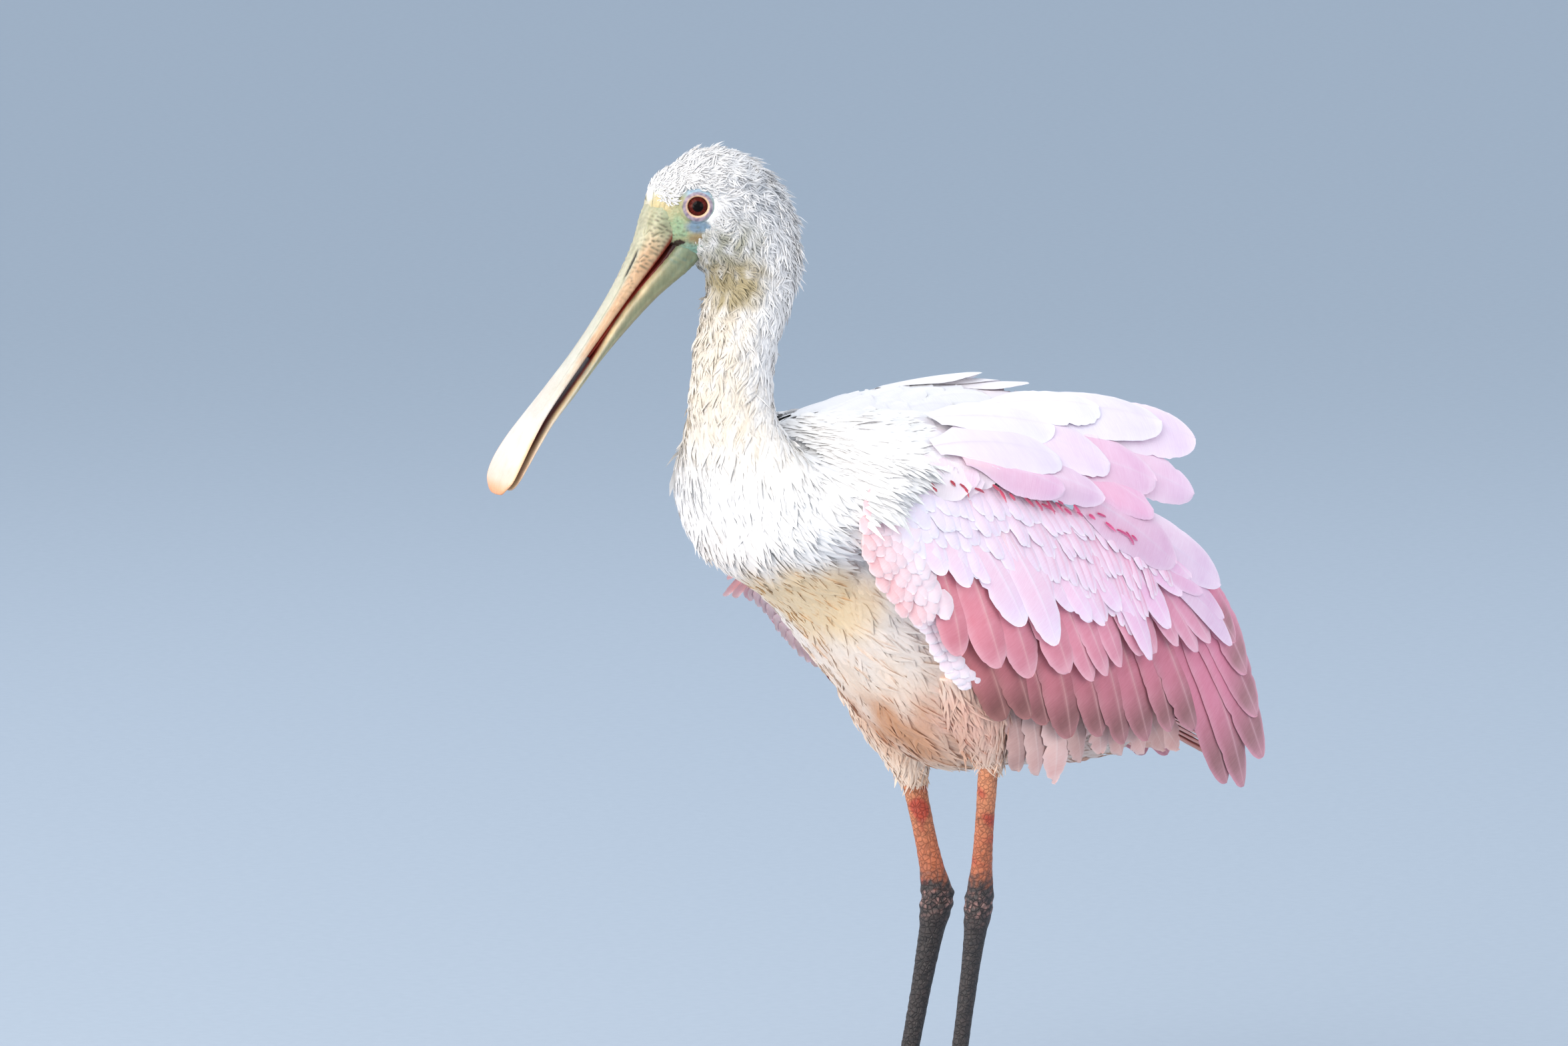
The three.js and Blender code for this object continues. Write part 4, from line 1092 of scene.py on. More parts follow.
def contour_barbs():
    """Soft body feathers: matt barbs in fine lines along the vane, drawn a millimetre apart, which is as
    coarse as they must be to show; soft sheen and no gloss."""
    material = new_material("soft_contour_feather")
    place = node(material, "UVMap", {"uv_map": "vane"})
    tint = node(material, "Attribute", {"attribute_name": "tint"})
    fan = node(material, "Mapping", {"Scale": (95, 16, 1)}, {"Vector": (place, "UV")})
    barbs = node(material, "TexNoise", {"Scale": 1.0, "Detail": 3.0, "Roughness": 0.6},
                 {"Vector": (fan, "Vector")})
    tone = node(material, "MixRGB", {"blend_type": "SOFT_LIGHT", "Fac": 0.3},
                {"Color1": (tint, "Color"), "Color2": (barbs, "Fac")})
    bump = node(material, "Bump", {"Strength": 0.5, "Distance": 0.0006}, {"Height": (barbs, "Fac")})
    shader = node(material, "BsdfPrincipled", {
        "Roughness": 0.8, "Sheen Weight": 0.25, "Sheen Roughness": 0.5, "Specular IOR Level": 0.2},
        {"Base Color": (tone, "Color"), "Normal": (bump, "Normal")})
    node(material, "OutputMaterial", {}, {"Surface": (shader, "BSDF")})
    return material


def add_contour_feathers(material):
    """Two stretches of vanes over the mantle and the rump, smaller towards the tail."""
    # name, ring from and to, count, length, width, lift, angular spread of the lie
    parts = [
        ("feathers_mantle", 0.19, 0.29, 330, 30, 20, 2.2, 0.18),
        ("feathers_rump", 0.045, 0.20, 400, 28, 19, 2.0, 0.22),
    ]
    for order, (name, t_low, t_high, count, length_mm, width_mm, lift_mm, spread) in enumerate(parts):
        t, angle = strewn_roots(count, t_low, t_high, 400 + order)
        on_back = np.abs((angle + np.pi) % (2 * np.pi) - np.pi) < np.radians(96)
        t, angle = t[on_back], angle[on_back]
        count = len(t)
        draws = np.random.default_rng(500 + order)
        smaller = np.interp(t, [0.04, 0.1], [0.7, 1])
        length = length_mm * draws.uniform(0.8, 1.2, count) * smaller
        width = width_mm * draws.uniform(0.8, 1.2, count) * smaller
        lift = lift_mm + draws.uniform(-0.8, 0.8, count)
        shade = draws.uniform(0.93, 1.0, count)
        turn = draws.normal(size=count) * spread
        piece = body_vanes(name, CONTOUR, t, angle, length, width, lift, turn, shade, material, 600 + order)


contour = contour_barbs()
add_contour_feathers(contour)


# Wings
# Each wing droops half open, with secondaries, three rows of coverts, scales at the wrist and a slim arm,
# drawn in the side view as x and height and laid on the wing's bulged side.
WRIST_X = 104.0
WRIST_OUT_MM = 70.0
WRIST_TOP_MM = 346.0
WING_LENGTH = 284.0
WING_DEPTH = 110.0
HELD = {"left": (0, 0), "right": (28, 9)}           # how far the wrist is held back, and the wing's rear up


def wing_bulge(x, z):
    """How far out the wing's side lies, with the share of its length and how far below its top line a point
    is: the side bulges under the top line and narrows to the rear and downwards."""
    p = (WRIST_X - x) / WING_LENGTH
    down = (WRIST_TOP_MM - 10 * p - 75 * p * p - z) / WING_DEPTH
    return WRIST_OUT_MM + 14 * p - 48 * p * p - 12.7 * down + 12 * down * (1 - down), p, down


def wing_surface(name, side):
    """The wing's outer side over its side view (x, z), with a height measured square to it."""
    back, up = HELD[name]

    def surface(x, z, high):
        z_held = z + up * ((WRIST_X - x) / WING_LENGTH) ** 2
        x = x - back * (0.08 + 0.92 * fade(z, 275, 293)) * fade(x, -60, 70)
        y, p, down = wing_bulge(x, z_held)
        nx, nz = (14 - 96 * p) / WING_LENGTH, (0.7 - 24 * down) / WING_DEPTH
        rise = high / np.sqrt(nx * nx + 1 + nz * nz)
        return stacked(x + nx * rise, side * (y + rise), z_held + nz * rise)
    return surface


LONG_VANE = {
    "rows": 34, "across": (-1, -0.85, -0.65, -0.4, -0.16, -0.05, 0, 0.05, 0.16, 0.4, 0.65, 0.85, 1),
    "root": 0.3, "full": 0.42, "blunt": 0.62, "splits": 5, "split_depth": 0.14, "ragged": 0.012,
    "sweep": 0.5, "bend": -0.03, "wave": 0.35, "rise": 2.4, "camber": 0.9, "curl": -0.4, "thick": 0.5,
}
COVERT_VANE = {**LONG_VANE, "rows": 30, "blunt": 0.55, "splits": 3, "wave": 0.4, "rise": 3.0, "camber": 1.3}
SMALL_VANE = {
    "rows": 10, "across": (-1, -0.65, -0.3, 0, 0.3, 0.65, 1), "root": 0.5, "full": 0.35, "blunt": 0.45,
    "splits": 2, "split_depth": 0.2, "ragged": 0.04, "sweep": 0.5, "bend": -0.03, "wave": 0.3, "rise": 1.5,
    "camber": 1.8, "curl": -0.5, "thick": 0.4,
}


def laid_vanes(name, form, surface, start, end, width, lift, roll, looks, material, seed, shaft=0.3,
               soft=False):
    """Vanes laid on a surface over the side view, each from a start to an end point. looks gives linear
    colours for each vane's root, middle, tip, margin and shaft. Soft ones are shaded as the surface is."""
    draws = np.random.default_rng(seed)
    start, end = np.asarray(start, float), np.asarray(end, float)
    way = end - start
    length = np.linalg.norm(way, axis=-1)
    along, across, high, s, w, half = vane_grid(form, length, width, lift, roll, draws)
    x_start, z_start, x_way, z_way = np.hstack([start, unit(way)]).T[:, :, None, None]
    x = x_start + x_way * along - z_way * across
    z = z_start + z_way * along + x_way * across
    thick = thickness(form, s, w)
    ridge = shaft * np.exp(-(w / 0.04) ** 2) * (1 - s) ** 0.6 * (1 - np.clip(1 - s / 0.05, 0, 1))
    upper, lower = surface(x, z, high + thick + ridge), surface(x, z, high - thick)
    root, middle, tip, margin, rib = (look[:, None, None, :] for look in looks)
    colours = blend(blend(root, middle, s / 0.45), tip, (s - 0.55) / 0.45)
    outer = np.clip(0.75 * fade(np.abs(w), 0.62, 1) ** 1.5 + 0.7 * smooth_step((s - 0.86) / 0.14), 0, 1)
    colours = colours + (margin - colours) * outer[..., None]
    colours = colours + (rib - colours) * (np.exp(-(w / 0.05) ** 2) * (1 - 0.6 * s))[..., None]
    mirrored = surface(0.0, 300.0, 0.0)[1] < 0
    out = surface(x, z, 1.0) - surface(x, z, 0.0) if soft else None
    return two_faced(name, upper, lower, colours, vane_cells(len(length), s, w),
                     stacked(w * half, s * length[:, None, None]) / 100, material, mirrored, out)


def vane_cells(count, s, w):
    """Bake places: each vane has a cell of a square chart, with a half each for its upper and lower face."""
    side = int(np.ceil(np.sqrt(count)))
    cell = np.arange(count)
    corner = stacked(cell % side, cell // side)[:, None, None, :] / side
    inside = stacked(0.03 + 0.44 * (w + 1) / 2, 0.03 + 0.94 * s)
    return np.stack([corner + inside / side, corner + (inside + [0.5, 0]) / side])


def toned(hexes_front, hexes_rear, share, draws, spread):
    """Five looks for each vane, from the front set to the rear set by its share, each vane a little lighter
    or darker than the last."""
    own = 1 + spread * draws.normal(size=(len(share), 1))
    return [np.clip((linear(front) + (linear(rear) - linear(front)) * share[:, None]) * own, 0, 1)
            for front, rear in zip(hexes_front, hexes_rear)]


def in_rows(rows):
    """Joins rows of vanes, each given as (starts, ends, widths, heights, shares), into one of each."""
    return [np.concatenate(parts) for parts in zip(*rows)]


def flight_vane(name, glow):
    """A stiff feather vane: barbs hooked into a smooth web, drawn as fine lines a millimetre apart, which is
    as coarse as they must be to show, with a satin face."""
    material = new_material(name)
    place = node(material, "UVMap", {"uv_map": "vane"})
    tint = node(material, "Attribute", {"attribute_name": "tint"})
    fan = node(material, "Mapping", {"Scale": (14, 105, 1)}, {"Vector": (place, "UV")})
    barbs = node(material, "TexNoise", {"Scale": 1.0, "Detail": 4.0, "Roughness": 0.65},
                 {"Vector": (fan, "Vector")})
    cloud = node(material, "Mapping", {"Scale": (9, 9, 1)}, {"Vector": (place, "UV")})
    patchy = node(material, "TexNoise", {"Scale": 1.0, "Detail": 2.0}, {"Vector": (cloud, "Vector")})
    tone = node(material, "MixRGB", {"blend_type": "SOFT_LIGHT", "Fac": 0.32},
                {"Color1": (tint, "Color"), "Color2": (barbs, "Fac")})
    tone = node(material, "MixRGB", {"blend_type": "SOFT_LIGHT", "Fac": 0.3},
                {"Color1": (tone, "Color"), "Color2": (patchy, "Fac")})
    bump = node(material, "Bump", {"Strength": 0.45, "Distance": 0.0004}, {"Height": (barbs, "Fac")})
    shader = node(material, "BsdfPrincipled", {
        "Roughness": 0.6, "Sheen Weight": glow, "Sheen Roughness": 0.45, "Specular IOR Level": 0.3},
        {"Base Color": (tone, "Color"), "Normal": (bump, "Normal")})
    node(material, "OutputMaterial", {}, {"Surface": (shader, "BSDF")})
    return material


# The large feathers of a wing in its side view, lowest first: root, tip, width, height over the side
FLIGHT_FEATHERS = [
    ((51, 295), (0, 219), 28, -3.4), ((33, 291), (-18, 217), 26, -3.0), ((13, 287), (-29, 215), 25, -3.4),
    ((-5, 286), (-46, 206), 27, -2.8), ((-25, 282), (-67, 204), 25, -3.2),
    ((-42, 281), (-85, 201), 24, -2.8), ((-58, 280), (-102, 201), 23, -3.2),
    ((-73, 281), (-117, 204), 22, -2.8), ((-83, 282), (-134, 203), 25, -2.4),
    ((-91, 287), (-152, 192), 24, -3.4), ((-94, 286), (-166, 173), 26, -2.8),
    ((-98, 288), (-178, 171), 24, -2.0), ((-103, 290), (-190, 183), 24, -1.2),
    ((-106, 294), (-181, 206), 23, -0.4), ((-105, 298), (-169, 227), 21, 0.4),
    ((-97, 301), (-157, 244), 18, 1.0),
]
GREATER_COVERTS = [
    ((76, 321), (50, 273), 21, -0.2), ((66, 320), (39, 255), 24, 0.6), ((47, 314), (12, 248), 27, 1.0),
    ((27, 308), (-10, 239), 24, 0.2), ((6, 304), (-33, 240), 23, 0.8), ((-7, 303), (-52, 236), 19, 0.2),
    ((-20, 300), (-61, 238), 16, 0.8), ((-34, 298), (-71, 239), 15, 0.3),
    ((-44, 298), (-85, 244), 15, 1.0), ((-55, 299), (-96, 245), 16, 0.4),
    ((-65, 301), (-112, 247), 15, 1.0), ((-72, 302), (-125, 243), 15, 0.5),
    ((-79, 303), (-135, 247), 15, 1.2), ((-85, 305), (-144, 254), 14, 1.8),
]
MEDIAN_COVERTS = [
    ((87, 334), (68, 297), 17, 2.2), ((79, 336), (56, 296), 18, 2.6), ((65, 333), (40, 288), 18, 3.0),
    ((54, 330), (25, 289), 16, 2.6), ((48, 326), (3, 267), 23, 3.4), ((26, 322), (-20, 256), 21, 4.0),
    ((5, 314), (-30, 270), 14, 2.6), ((-4, 311), (-42, 264), 14, 3.2), ((-15, 307), (-55, 263), 14, 2.6),
    ((-24, 309), (-63, 268), 12, 3.2), ((-35, 308), (-75, 264), 12, 2.6),
    ((-41, 310), (-88, 243), 14, 3.4), ((-49, 311), (-102, 257), 14, 3.0),
    ((-55, 312), (-108, 274), 12, 3.6), ((-65, 312), (-116, 280), 12, 4.0),
]
# Rows of small coverts, lowest first: count, root line, tip line, width at the front and at the rear, height
LESSER_ROWS = [
    (24, [(85, 326), (56, 323), (25, 316), (-6, 308), (-36, 298), (-65, 287)],
     [(73, 305), (43, 298), (9, 287), (-21, 278), (-52, 270), (-78, 254)], 12.5, 8.0, 3.4),
    (26, [(84, 332), (55, 329), (23, 322), (-10, 314), (-41, 304), (-69, 291)],
     [(73, 313), (41, 307), (7, 297), (-25, 287), (-56, 278), (-85, 263)], 11.5, 7.5, 4.0),
    (27, [(84, 338), (53, 334), (21, 328), (-12, 319), (-47, 309), (-79, 295)],
     [(72, 321), (39, 315), (5, 307), (-30, 297), (-62, 285), (-91, 273)], 10.5, 7.0, 4.6),
    (28, [(81, 343), (50, 340), (18, 334), (-16, 325), (-54, 314), (-86, 299)],
     [(70, 328), (37, 323), (1, 316), (-33, 307), (-68, 294), (-101, 279)], 9.5, 6.5, 5.0),
]
# Root, middle, tip, margin and shaft of a feather at the wing's front, and at its rear. The lower rows are
# darker, the flight feathers most, with brown tips at the front: partly their own colour, partly painted
# shade of the lower wing.
FLIGHT_TONES = (("#E0908F", "#C8757A", "#6E403A", "#A86D67", "#D9A198"),
                ("#F29CB8", "#E58CA8", "#98706E", "#E8A4B8", "#EFBFCB"))
GREATER_TONES = (("#F8AEB0", "#E98D98", "#D57F8B", "#F0ACB4", "#F2BAB8"),
                 ("#F5B4C8", "#EDA2BC", "#EAA8BE", "#F5C8D8", "#F6D2DE"))
MEDIAN_TONES = (("#FBDFDD", "#F9DCE8", "#F8E6F9", "#FDF4FD", "#FBEAF6"),
                ("#FACCE2", "#F6BEDE", "#F8CEE8", "#FCE3F2", "#FCEFF6"))
LESSER_TONES = (("#F8DEE2", "#F6E9F6", "#F5EDFD", "#FDFAFF", "#FAF2FA"),
                ("#EE96B4", "#F6CCE0", "#F9D6EA", "#FDF0F8", "#EE94B6"))
SCALE_TONES = (("#F3B3B4", "#F7C3C5", "#FAD2D4", "#FBDEDF", "#F6C4C6"),
               ("#FADEE6", "#FBE6EE", "#FBEFF6", "#FCF4F8", "#FAE8EE"))
QUILL_TONES = (("#A8323A", "#C8505A", "#D8707A", "#D87A80", "#B83A48"),
               ("#D8467E", "#E2649A", "#EE92B8", "#F0A0C0", "#D8407E"))
SCAPULAR_TONES = (("#F4F1F5", "#ECE8F5", "#E5E0F3", "#F4F1FA", "#E0D6EC"),
                  ("#F4C4D0", "#EFB3CF", "#EBB0D2", "#F5CAE2", "#F3D0E2"))
SHOULDER_TONES = (("#EFEEEE", "#EEECEE", "#EBE8EE", "#F0EEF0", "#E6E2E9"), SCAPULAR_TONES[1])


def tabled_vanes(name, form, surface, table, tones, material, seed, roll, shares=None):
    """The vanes of a table, each shaken a little and toned by its share of the way through the table."""
    draws = np.random.default_rng(seed)
    start, end, width, lift = (np.array(part, float) for part in list(zip(*table))[:4])
    end = end + draws.normal(size=end.shape) * 0.7
    share = np.linspace(0, 1, len(table)) if shares is None else np.asarray(shares)
    looks = toned(*tones, share, draws, 0.02)
    return laid_vanes(name, form, surface, start, end, width, lift, roll, looks, material, seed + 1)


def add_wing(name, side, material):
    """One wing: rows of tabled vanes, small coverts, scales, quills, the shoulder feathers and the arm."""
    surface = wing_surface(name, side)
    seed = 1000 if side > 0 else 1100
    # name, form, feathers, tones, seed's step, roll
    tables = [
        ("flight_feathers", LONG_VANE, FLIGHT_FEATHERS, FLIGHT_TONES, 0, 1.4),
        ("greater_coverts", COVERT_VANE, GREATER_COVERTS, GREATER_TONES, 10, 1.2),
        ("median_coverts", {**COVERT_VANE, "rows": 22}, MEDIAN_COVERTS, MEDIAN_TONES, 20, 1.0),
    ]
    pieces = [
        tabled_vanes(f"{title}_{name}", form, surface, table, tones, material, seed + step, roll)
        for title, form, table, tones, step, roll in tables]
    pieces += [
        add_lesser_coverts(name, surface, material, seed + 30),
        add_wrist_scales(name, surface, material, seed + 40),
        add_quills(name, surface, material, seed + 50),
        add_scapulars(name, side, material, seed + 60),
        add_arm(name, side, surface, material),
    ]
    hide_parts(f"wing_{name}")


def add_lesser_coverts(name, surface, material, seed):
    """Four rows of narrow coverts that point down and back, longer in front, each over the next lower."""
    draws = np.random.default_rng(seed)
    rows = []
    for count, roots, tips, front, rear, lift in LESSER_ROWS:
        share = np.clip((np.arange(count) + 0.3 * draws.uniform(-1, 1, count)) / (count - 1), 0, 1)
        start, end = through(roots, share), through(tips, share)
        root = start + 0.7 * draws.normal(size=(count, 2))
        far = start + (end - start) * draws.uniform(0.85, 1.2, (count, 1))
        rows.append((
            root,
            far + 0.8 * draws.normal(size=(count, 2)),
            (front + (rear - front) * share) * draws.uniform(0.85, 1.15, count),
            lift + 0.4 * draws.uniform(-1, 1, count),
            share ** 0.8))
    start, end, width, lift, share = in_rows(rows)
    return laid_vanes(f"lesser_coverts_{name}", SMALL_VANE, surface, start, end, width, lift, 0.6,
                      toned(*LESSER_TONES, share, draws, 0.02), material, seed + 1)


# The wrist's leading edge from its top to the hand, the line its scales reach in to, and the hand's edge
WRIST_OUTER = [(70, 344), (90, 342), (101, 336), (105, 325), (103, 314), (97, 303), (88, 291), (75, 279)]
WRIST_INNER = [(62, 340), (76, 337), (82, 330), (82, 320), (79, 311), (74, 303), (67, 294), (58, 284)]
HAND_EDGE = [(70, 277), (60, 268), (52, 257), (42, 247), (32, 240), (24, 235)]


def add_wrist_scales(name, surface, material, seed):
    """Rounded scale-like coverts that crowd the wrist in rows, salmon at the edge and paler further in, and
    below them two rows of small white ones along the hand."""
    draws = np.random.default_rng(seed)
    rows = []
    for row in range(6):
        count = 12 - row // 2
        place = np.arange(count) + 0.5 * (row % 2) + 0.2 * draws.uniform(-1, 1, count)
        share = np.clip(place / (count - 0.5), 0, 1)
        outer, inner = through(WRIST_OUTER, share), through(WRIST_INNER, share)
        start = outer + (inner - outer) * (row / 4.6) + 0.5 * draws.normal(size=(count, 2))
        way = stacked(-0.62 + 0.22 * share, -0.75 - 0.16 * share)
        rows.append((
            start - way * 3,
            start + way * (8.6 + 0.8 * row) * draws.uniform(0.85, 1.15, (count, 1)),
            (9.2 + 0.6 * row) * draws.uniform(0.88, 1.12, count),
            np.full(count, 2.4 + 0.3 * row),
            np.clip(0.17 * row + 0.75 * (1 - share) ** 1.6 - 0.08, 0, 1)))
    for row in range(2):
        count = 10
        share = (np.arange(count) + 0.5 * row + 0.1 * draws.uniform(-1, 1, count)) / count
        start = through(HAND_EDGE, share * 0.86) + [[-3 * row - 1, 3.0 * row + 3]]
        way = stacked(-0.62, -0.66 - 0.1 * share)
        rows.append((
            start,
            start + way * 11 * draws.uniform(0.9, 1.1, (count, 1)),
            9.6 * draws.uniform(0.9, 1.1, count),
            np.full(count, -3.6 + 1.0 * row),
            np.ones(count)))
    start, end, width, lift, share = in_rows(rows)
    form = {**SMALL_VANE, "rise": 1.8, "blunt": 0.3, "camber": 2.2}
    return laid_vanes(f"wrist_scales_{name}", form, surface, start, end, width, lift, 0,
                      toned(*SCALE_TONES, share, draws, 0.04), material, seed + 1, shaft=0.1)


QUILL_LINE = [(66, 341), (41, 338), (15, 332), (-5, 326), (-22, 322), (-47, 314), (-72, 303)]


def add_quills(name, surface, material, seed):
    """The bare red bases of the coverts' quills, which show as short slivers along the wing's top line."""
    draws = np.random.default_rng(seed)
    count = 24
    share = (np.arange(count) + 0.5 * draws.uniform(0, 1, count)) / count
    start = through(QUILL_LINE, share) + draws.normal(size=(count, 2)) * 1.2
    way = stacked(-0.75 + 0.15 * draws.normal(size=count), -0.62 + 0.1 * draws.normal(size=count))
    end = start + way * draws.uniform(5, 11, (count, 1))
    looks = toned(*QUILL_TONES, share, draws, 0.08)
    width = draws.uniform(1.2, 2.0, count)
    form = {**SMALL_VANE, "rise": 0.6, "blunt": 0.2, "thick": 0.9}
    return laid_vanes(f"quill_bases_{name}", form, surface, start, end, width, 8.2, 0, looks, material,
                      seed + 1)


# Long feathers over the shoulder and back, lowest first: root, tip, width, height and how pink each is
SCAPULARS = [
    ((-52, 311), (-152, 244), 13, -1.4, 0.6), ((-50, 313), (-143, 258), 12, -0.8, 0.7),
    ((-52, 310), (-124, 273), 17, -0.4, 0.85), ((-37, 325), (-138, 276), 24, 0.4, 0.5),
    ((-48, 346), (-128, 321), 26, 0.0, 0.6), ((-12, 337), (-103, 288), 27, 1.4, 0.75),
    ((-57, 361), (-139, 344), 32, 0.8, 0.35), ((-11, 348), (-88, 316), 29, 2.4, 1.0),
    ((4, 349), (-99, 329), 30, 3.0, 0.75), ((-14, 368), (-117, 353), 33, 3.2, 0.12),
    ((22, 342), (-46, 324), 22, 4.2, 0.6), ((14, 358), (-68, 337), 27, 4.6, 0.35),
    ((-8, 371), (-79, 362), 27, 4.6, 0.0), ((48, 349), (-17, 331), 22, 5.0, 0.75),
    ((63, 354), (-26, 342), 24, 5.8, 0.2), ((41, 367), (-40, 356), 25, 5.6, 0.05),
]
SCAPULAR_VANE = {
    **COVERT_VANE, "blunt": 0.5, "full": 0.5, "bend": -0.05, "camber": 1.6, "rise": 1.4, "wave": 0.45}
SOFT_ACROSS = (-1, -0.7, -0.4, -0.12, 0, 0.12, 0.4, 0.7, 1)
# Rows of soft white feathers over the shoulder, lowest first
SHOULDER_ROWS = [
    [(-10, 344), (10, 343), (34, 345), (56, 347), (76, 347), (92, 344)],
    [(-34, 348), (-5, 350), (38, 354), (72, 354), (94, 350)],
    [(-44, 357), (-20, 360), (22, 362), (62, 362), (93, 358)],
    [(-56, 364), (-29, 368), (8, 370), (48, 370), (88, 366)],
    [(-60, 371), (-39, 375), (-6, 378), (34, 377), (76, 373)],
]


def cape_surface(side):
    """The sheet that the shoulder's feathers lie on: the shoulder's own, or the wing's side where that is
    further out, which fades above the wing's top line, with a soft turn between the two."""
    def surface(x, z, high):
        wing, _, down = wing_bulge(x, z)
        wing = wing + 4 - 260 * np.clip(-down - 0.04, 0, 1) ** 1.3
        ridge = 350 + 32 * (1 - np.exp(-np.clip(z - 350, 0, 60) / 32))
        level = np.where(z > 350, ridge, z) - (4.0 if side < 0 else 0.0) * fade(z, 340, 360)
        over = np.clip((level - 300) / 80, 0, 1.1)
        shoulder = 62 - 16 * ((80 - x) / 210) ** 2 - 50 * over ** 2.5 - 0.9 * (z - level)
        y = 0.5 * (wing + shoulder + np.sqrt((wing - shoulder) ** 2 + 64))
        y = y - 17 * fade(x, 72, 104) ** 2 * fade(z, 340, 356) - 0.05 * np.clip(x - 96, 0, None) ** 2
        nz = 1.56 * over ** 1.5 + 0.12 * np.clip(z - level, 0, 20)
        rise = high / np.sqrt(1 + nz * nz)
        return stacked(x, side * (y + rise), level + nz * rise)
    return surface


def add_scapulars(name, side, material, seed):
    """The long feathers of the shoulder, and over them rows of soft ones, each row a little lower."""
    cape = cape_surface(side)
    pink = [row[4] for row in SCAPULARS]
    long_ones = tabled_vanes(f"scapulars_{name}", SCAPULAR_VANE, cape, SCAPULARS, SCAPULAR_TONES, material,
                             seed, 0.8, pink)
    draws = np.random.default_rng(seed + 2)
    rows = []
    for row, line in enumerate(SHOULDER_ROWS):
        count = 13
        place = np.arange(count) + 0.5 * (row % 2) + 0.3 * draws.uniform(-1, 1, count)
        share = np.clip(place / count, 0, 1)
        start = through(line, share) + draws.normal(size=(count, 2)) * 1.5
        way = stacked(-1.0, -0.2 + 0.12 * draws.normal(size=count))
        rows.append((
            start,
            start + way * draws.uniform(26, 38, (count, 1)),
            draws.uniform(17, 24, count),
            0.9 - 0.5 * row + 1.4 * share + 0.4 * draws.uniform(-1, 1, count),
            np.clip(0.55 - 0.16 * row + 0.12 * draws.normal(size=count) - 0.3 * share, 0, 1)))
    start, end, width, lift, share = in_rows(rows)
    looks = toned(*SHOULDER_TONES, share, draws, 0.015)
    form = {
        **SCAPULAR_VANE, "rows": 12, "across": SOFT_ACROSS, "ragged": 0.07, "splits": 6, "rise": 2.2,
        "wave": 0.9, "blunt": 0.4}
    order = np.argsort(-lift)
    start, end, width, lift, *looks = (part[order] for part in (start, end, width, lift, *looks))
    piece = laid_vanes(f"shoulder_feathers_{name}", form, cape, start, end, width, lift, 0, looks, material,
                       seed + 3, shaft=0.1, soft=True)
    return long_ones


# The edge of the shoulder's down in the side view, from the wrist up to the neck and over the back
SHOULDER_DOWN_EDGE = [(92, 326), (82, 336), (70, 344), (58, 353), (48, 362), (46, 372), (48, 380)]


def add_shoulder_down(name, side, seed):
    """Soft white locks that grow back from the breast over the roots of the shoulder's feathers."""
    cape = cape_surface(side)
    count = 2300
    pairs = quasi_random(count, seed)
    z = 328 + 52 * pairs[:, 1]
    edge = np.array(SHOULDER_DOWN_EDGE, float)
    rear = np.interp(z, edge[:, 1], edge[:, 0])
    front = 107 if side > 0 else 96
    x = rear + 8 + (front - rear - 8) * pairs[:, 0]
    high = 1.6 - 6 * fade(x, front - 9, front)
    root = cape(x, z, high)
    out = cape(x, z, high + 1) - root
    back = unit(cape(x - 1, z - 0.25, high) - root)
    aside = unit(np.cross(back, out))
    draws = np.random.default_rng(seed + 1)
    length, width = draws.uniform(11, 17, count), draws.uniform(3.6, 5.2, count)
    lift, shade = draws.uniform(0.16, 0.24, count), draws.uniform(0.84, 0.9, count)
    locks(f"shoulder_down_{name}", (root, back, aside, np.cross(aside, back)),
          body_patch(0.4 + 0.0005 * x, side * z / 60), length, width, lift, 0.2, 0.04, shade, 0.9, down,
          seed + 2)


def back_surface(along, left, high):
    """The crest over the back between the shoulders: level in front, dropping to the rear and the sides."""
    x = 85 - along
    return stacked(x, left, 377 - 0.00165 * (x - 18) ** 2 - left * left / 62 + high)


def add_back_feathers(material):
    """Soft white feathers that lie over the middle of the back and close it between the shoulders."""
    draws = np.random.default_rng(1390)
    along, left = np.meshgrid(np.arange(-4, 150, 13.0), [-19.0, -9.5, 0.0, 9.5, 19.0], indexing="ij")
    along = (along + 6.5 * (np.arange(5) % 2) + draws.uniform(-2.5, 2.5, along.shape)).ravel()
    left = left.ravel() + draws.uniform(-2.5, 2.5, left.size)
    end = stacked(along + draws.uniform(34, 46, left.size), left * 1.06 + draws.uniform(-3, 3, left.size))
    looks = toned(*SHOULDER_TONES, fade(along, 60, 220), draws, 0.015)
    form = {**SCAPULAR_VANE, "rows": 16, "across": SOFT_ACROSS, "ragged": 0.06, "rise": 2.0, "wave": 0.9}
    width, lift = draws.uniform(20, 27, left.size), draws.uniform(-0.8, 0.8, left.size)
    piece = laid_vanes("back_feathers", form, back_surface, stacked(along, left), end, width, lift, 0, looks,
                       material, 1391, shaft=0.1, soft=True)
    looks = toned(*SHOULDER_TONES, np.array([0.0, 0.05, 0.1]), draws, 0.01)
    piece = laid_vanes("raised_back_feathers", {**SCAPULAR_VANE, "rise": 9.0, "bend": 0.02}, back_surface,
                       [(52, -4), (66, -8), (84, -2)], [(124, -12), (138, -14), (150, -6)], [24, 22, 20],
                       [2.0, 1.2, 0.6], 0, looks, material, 1392)


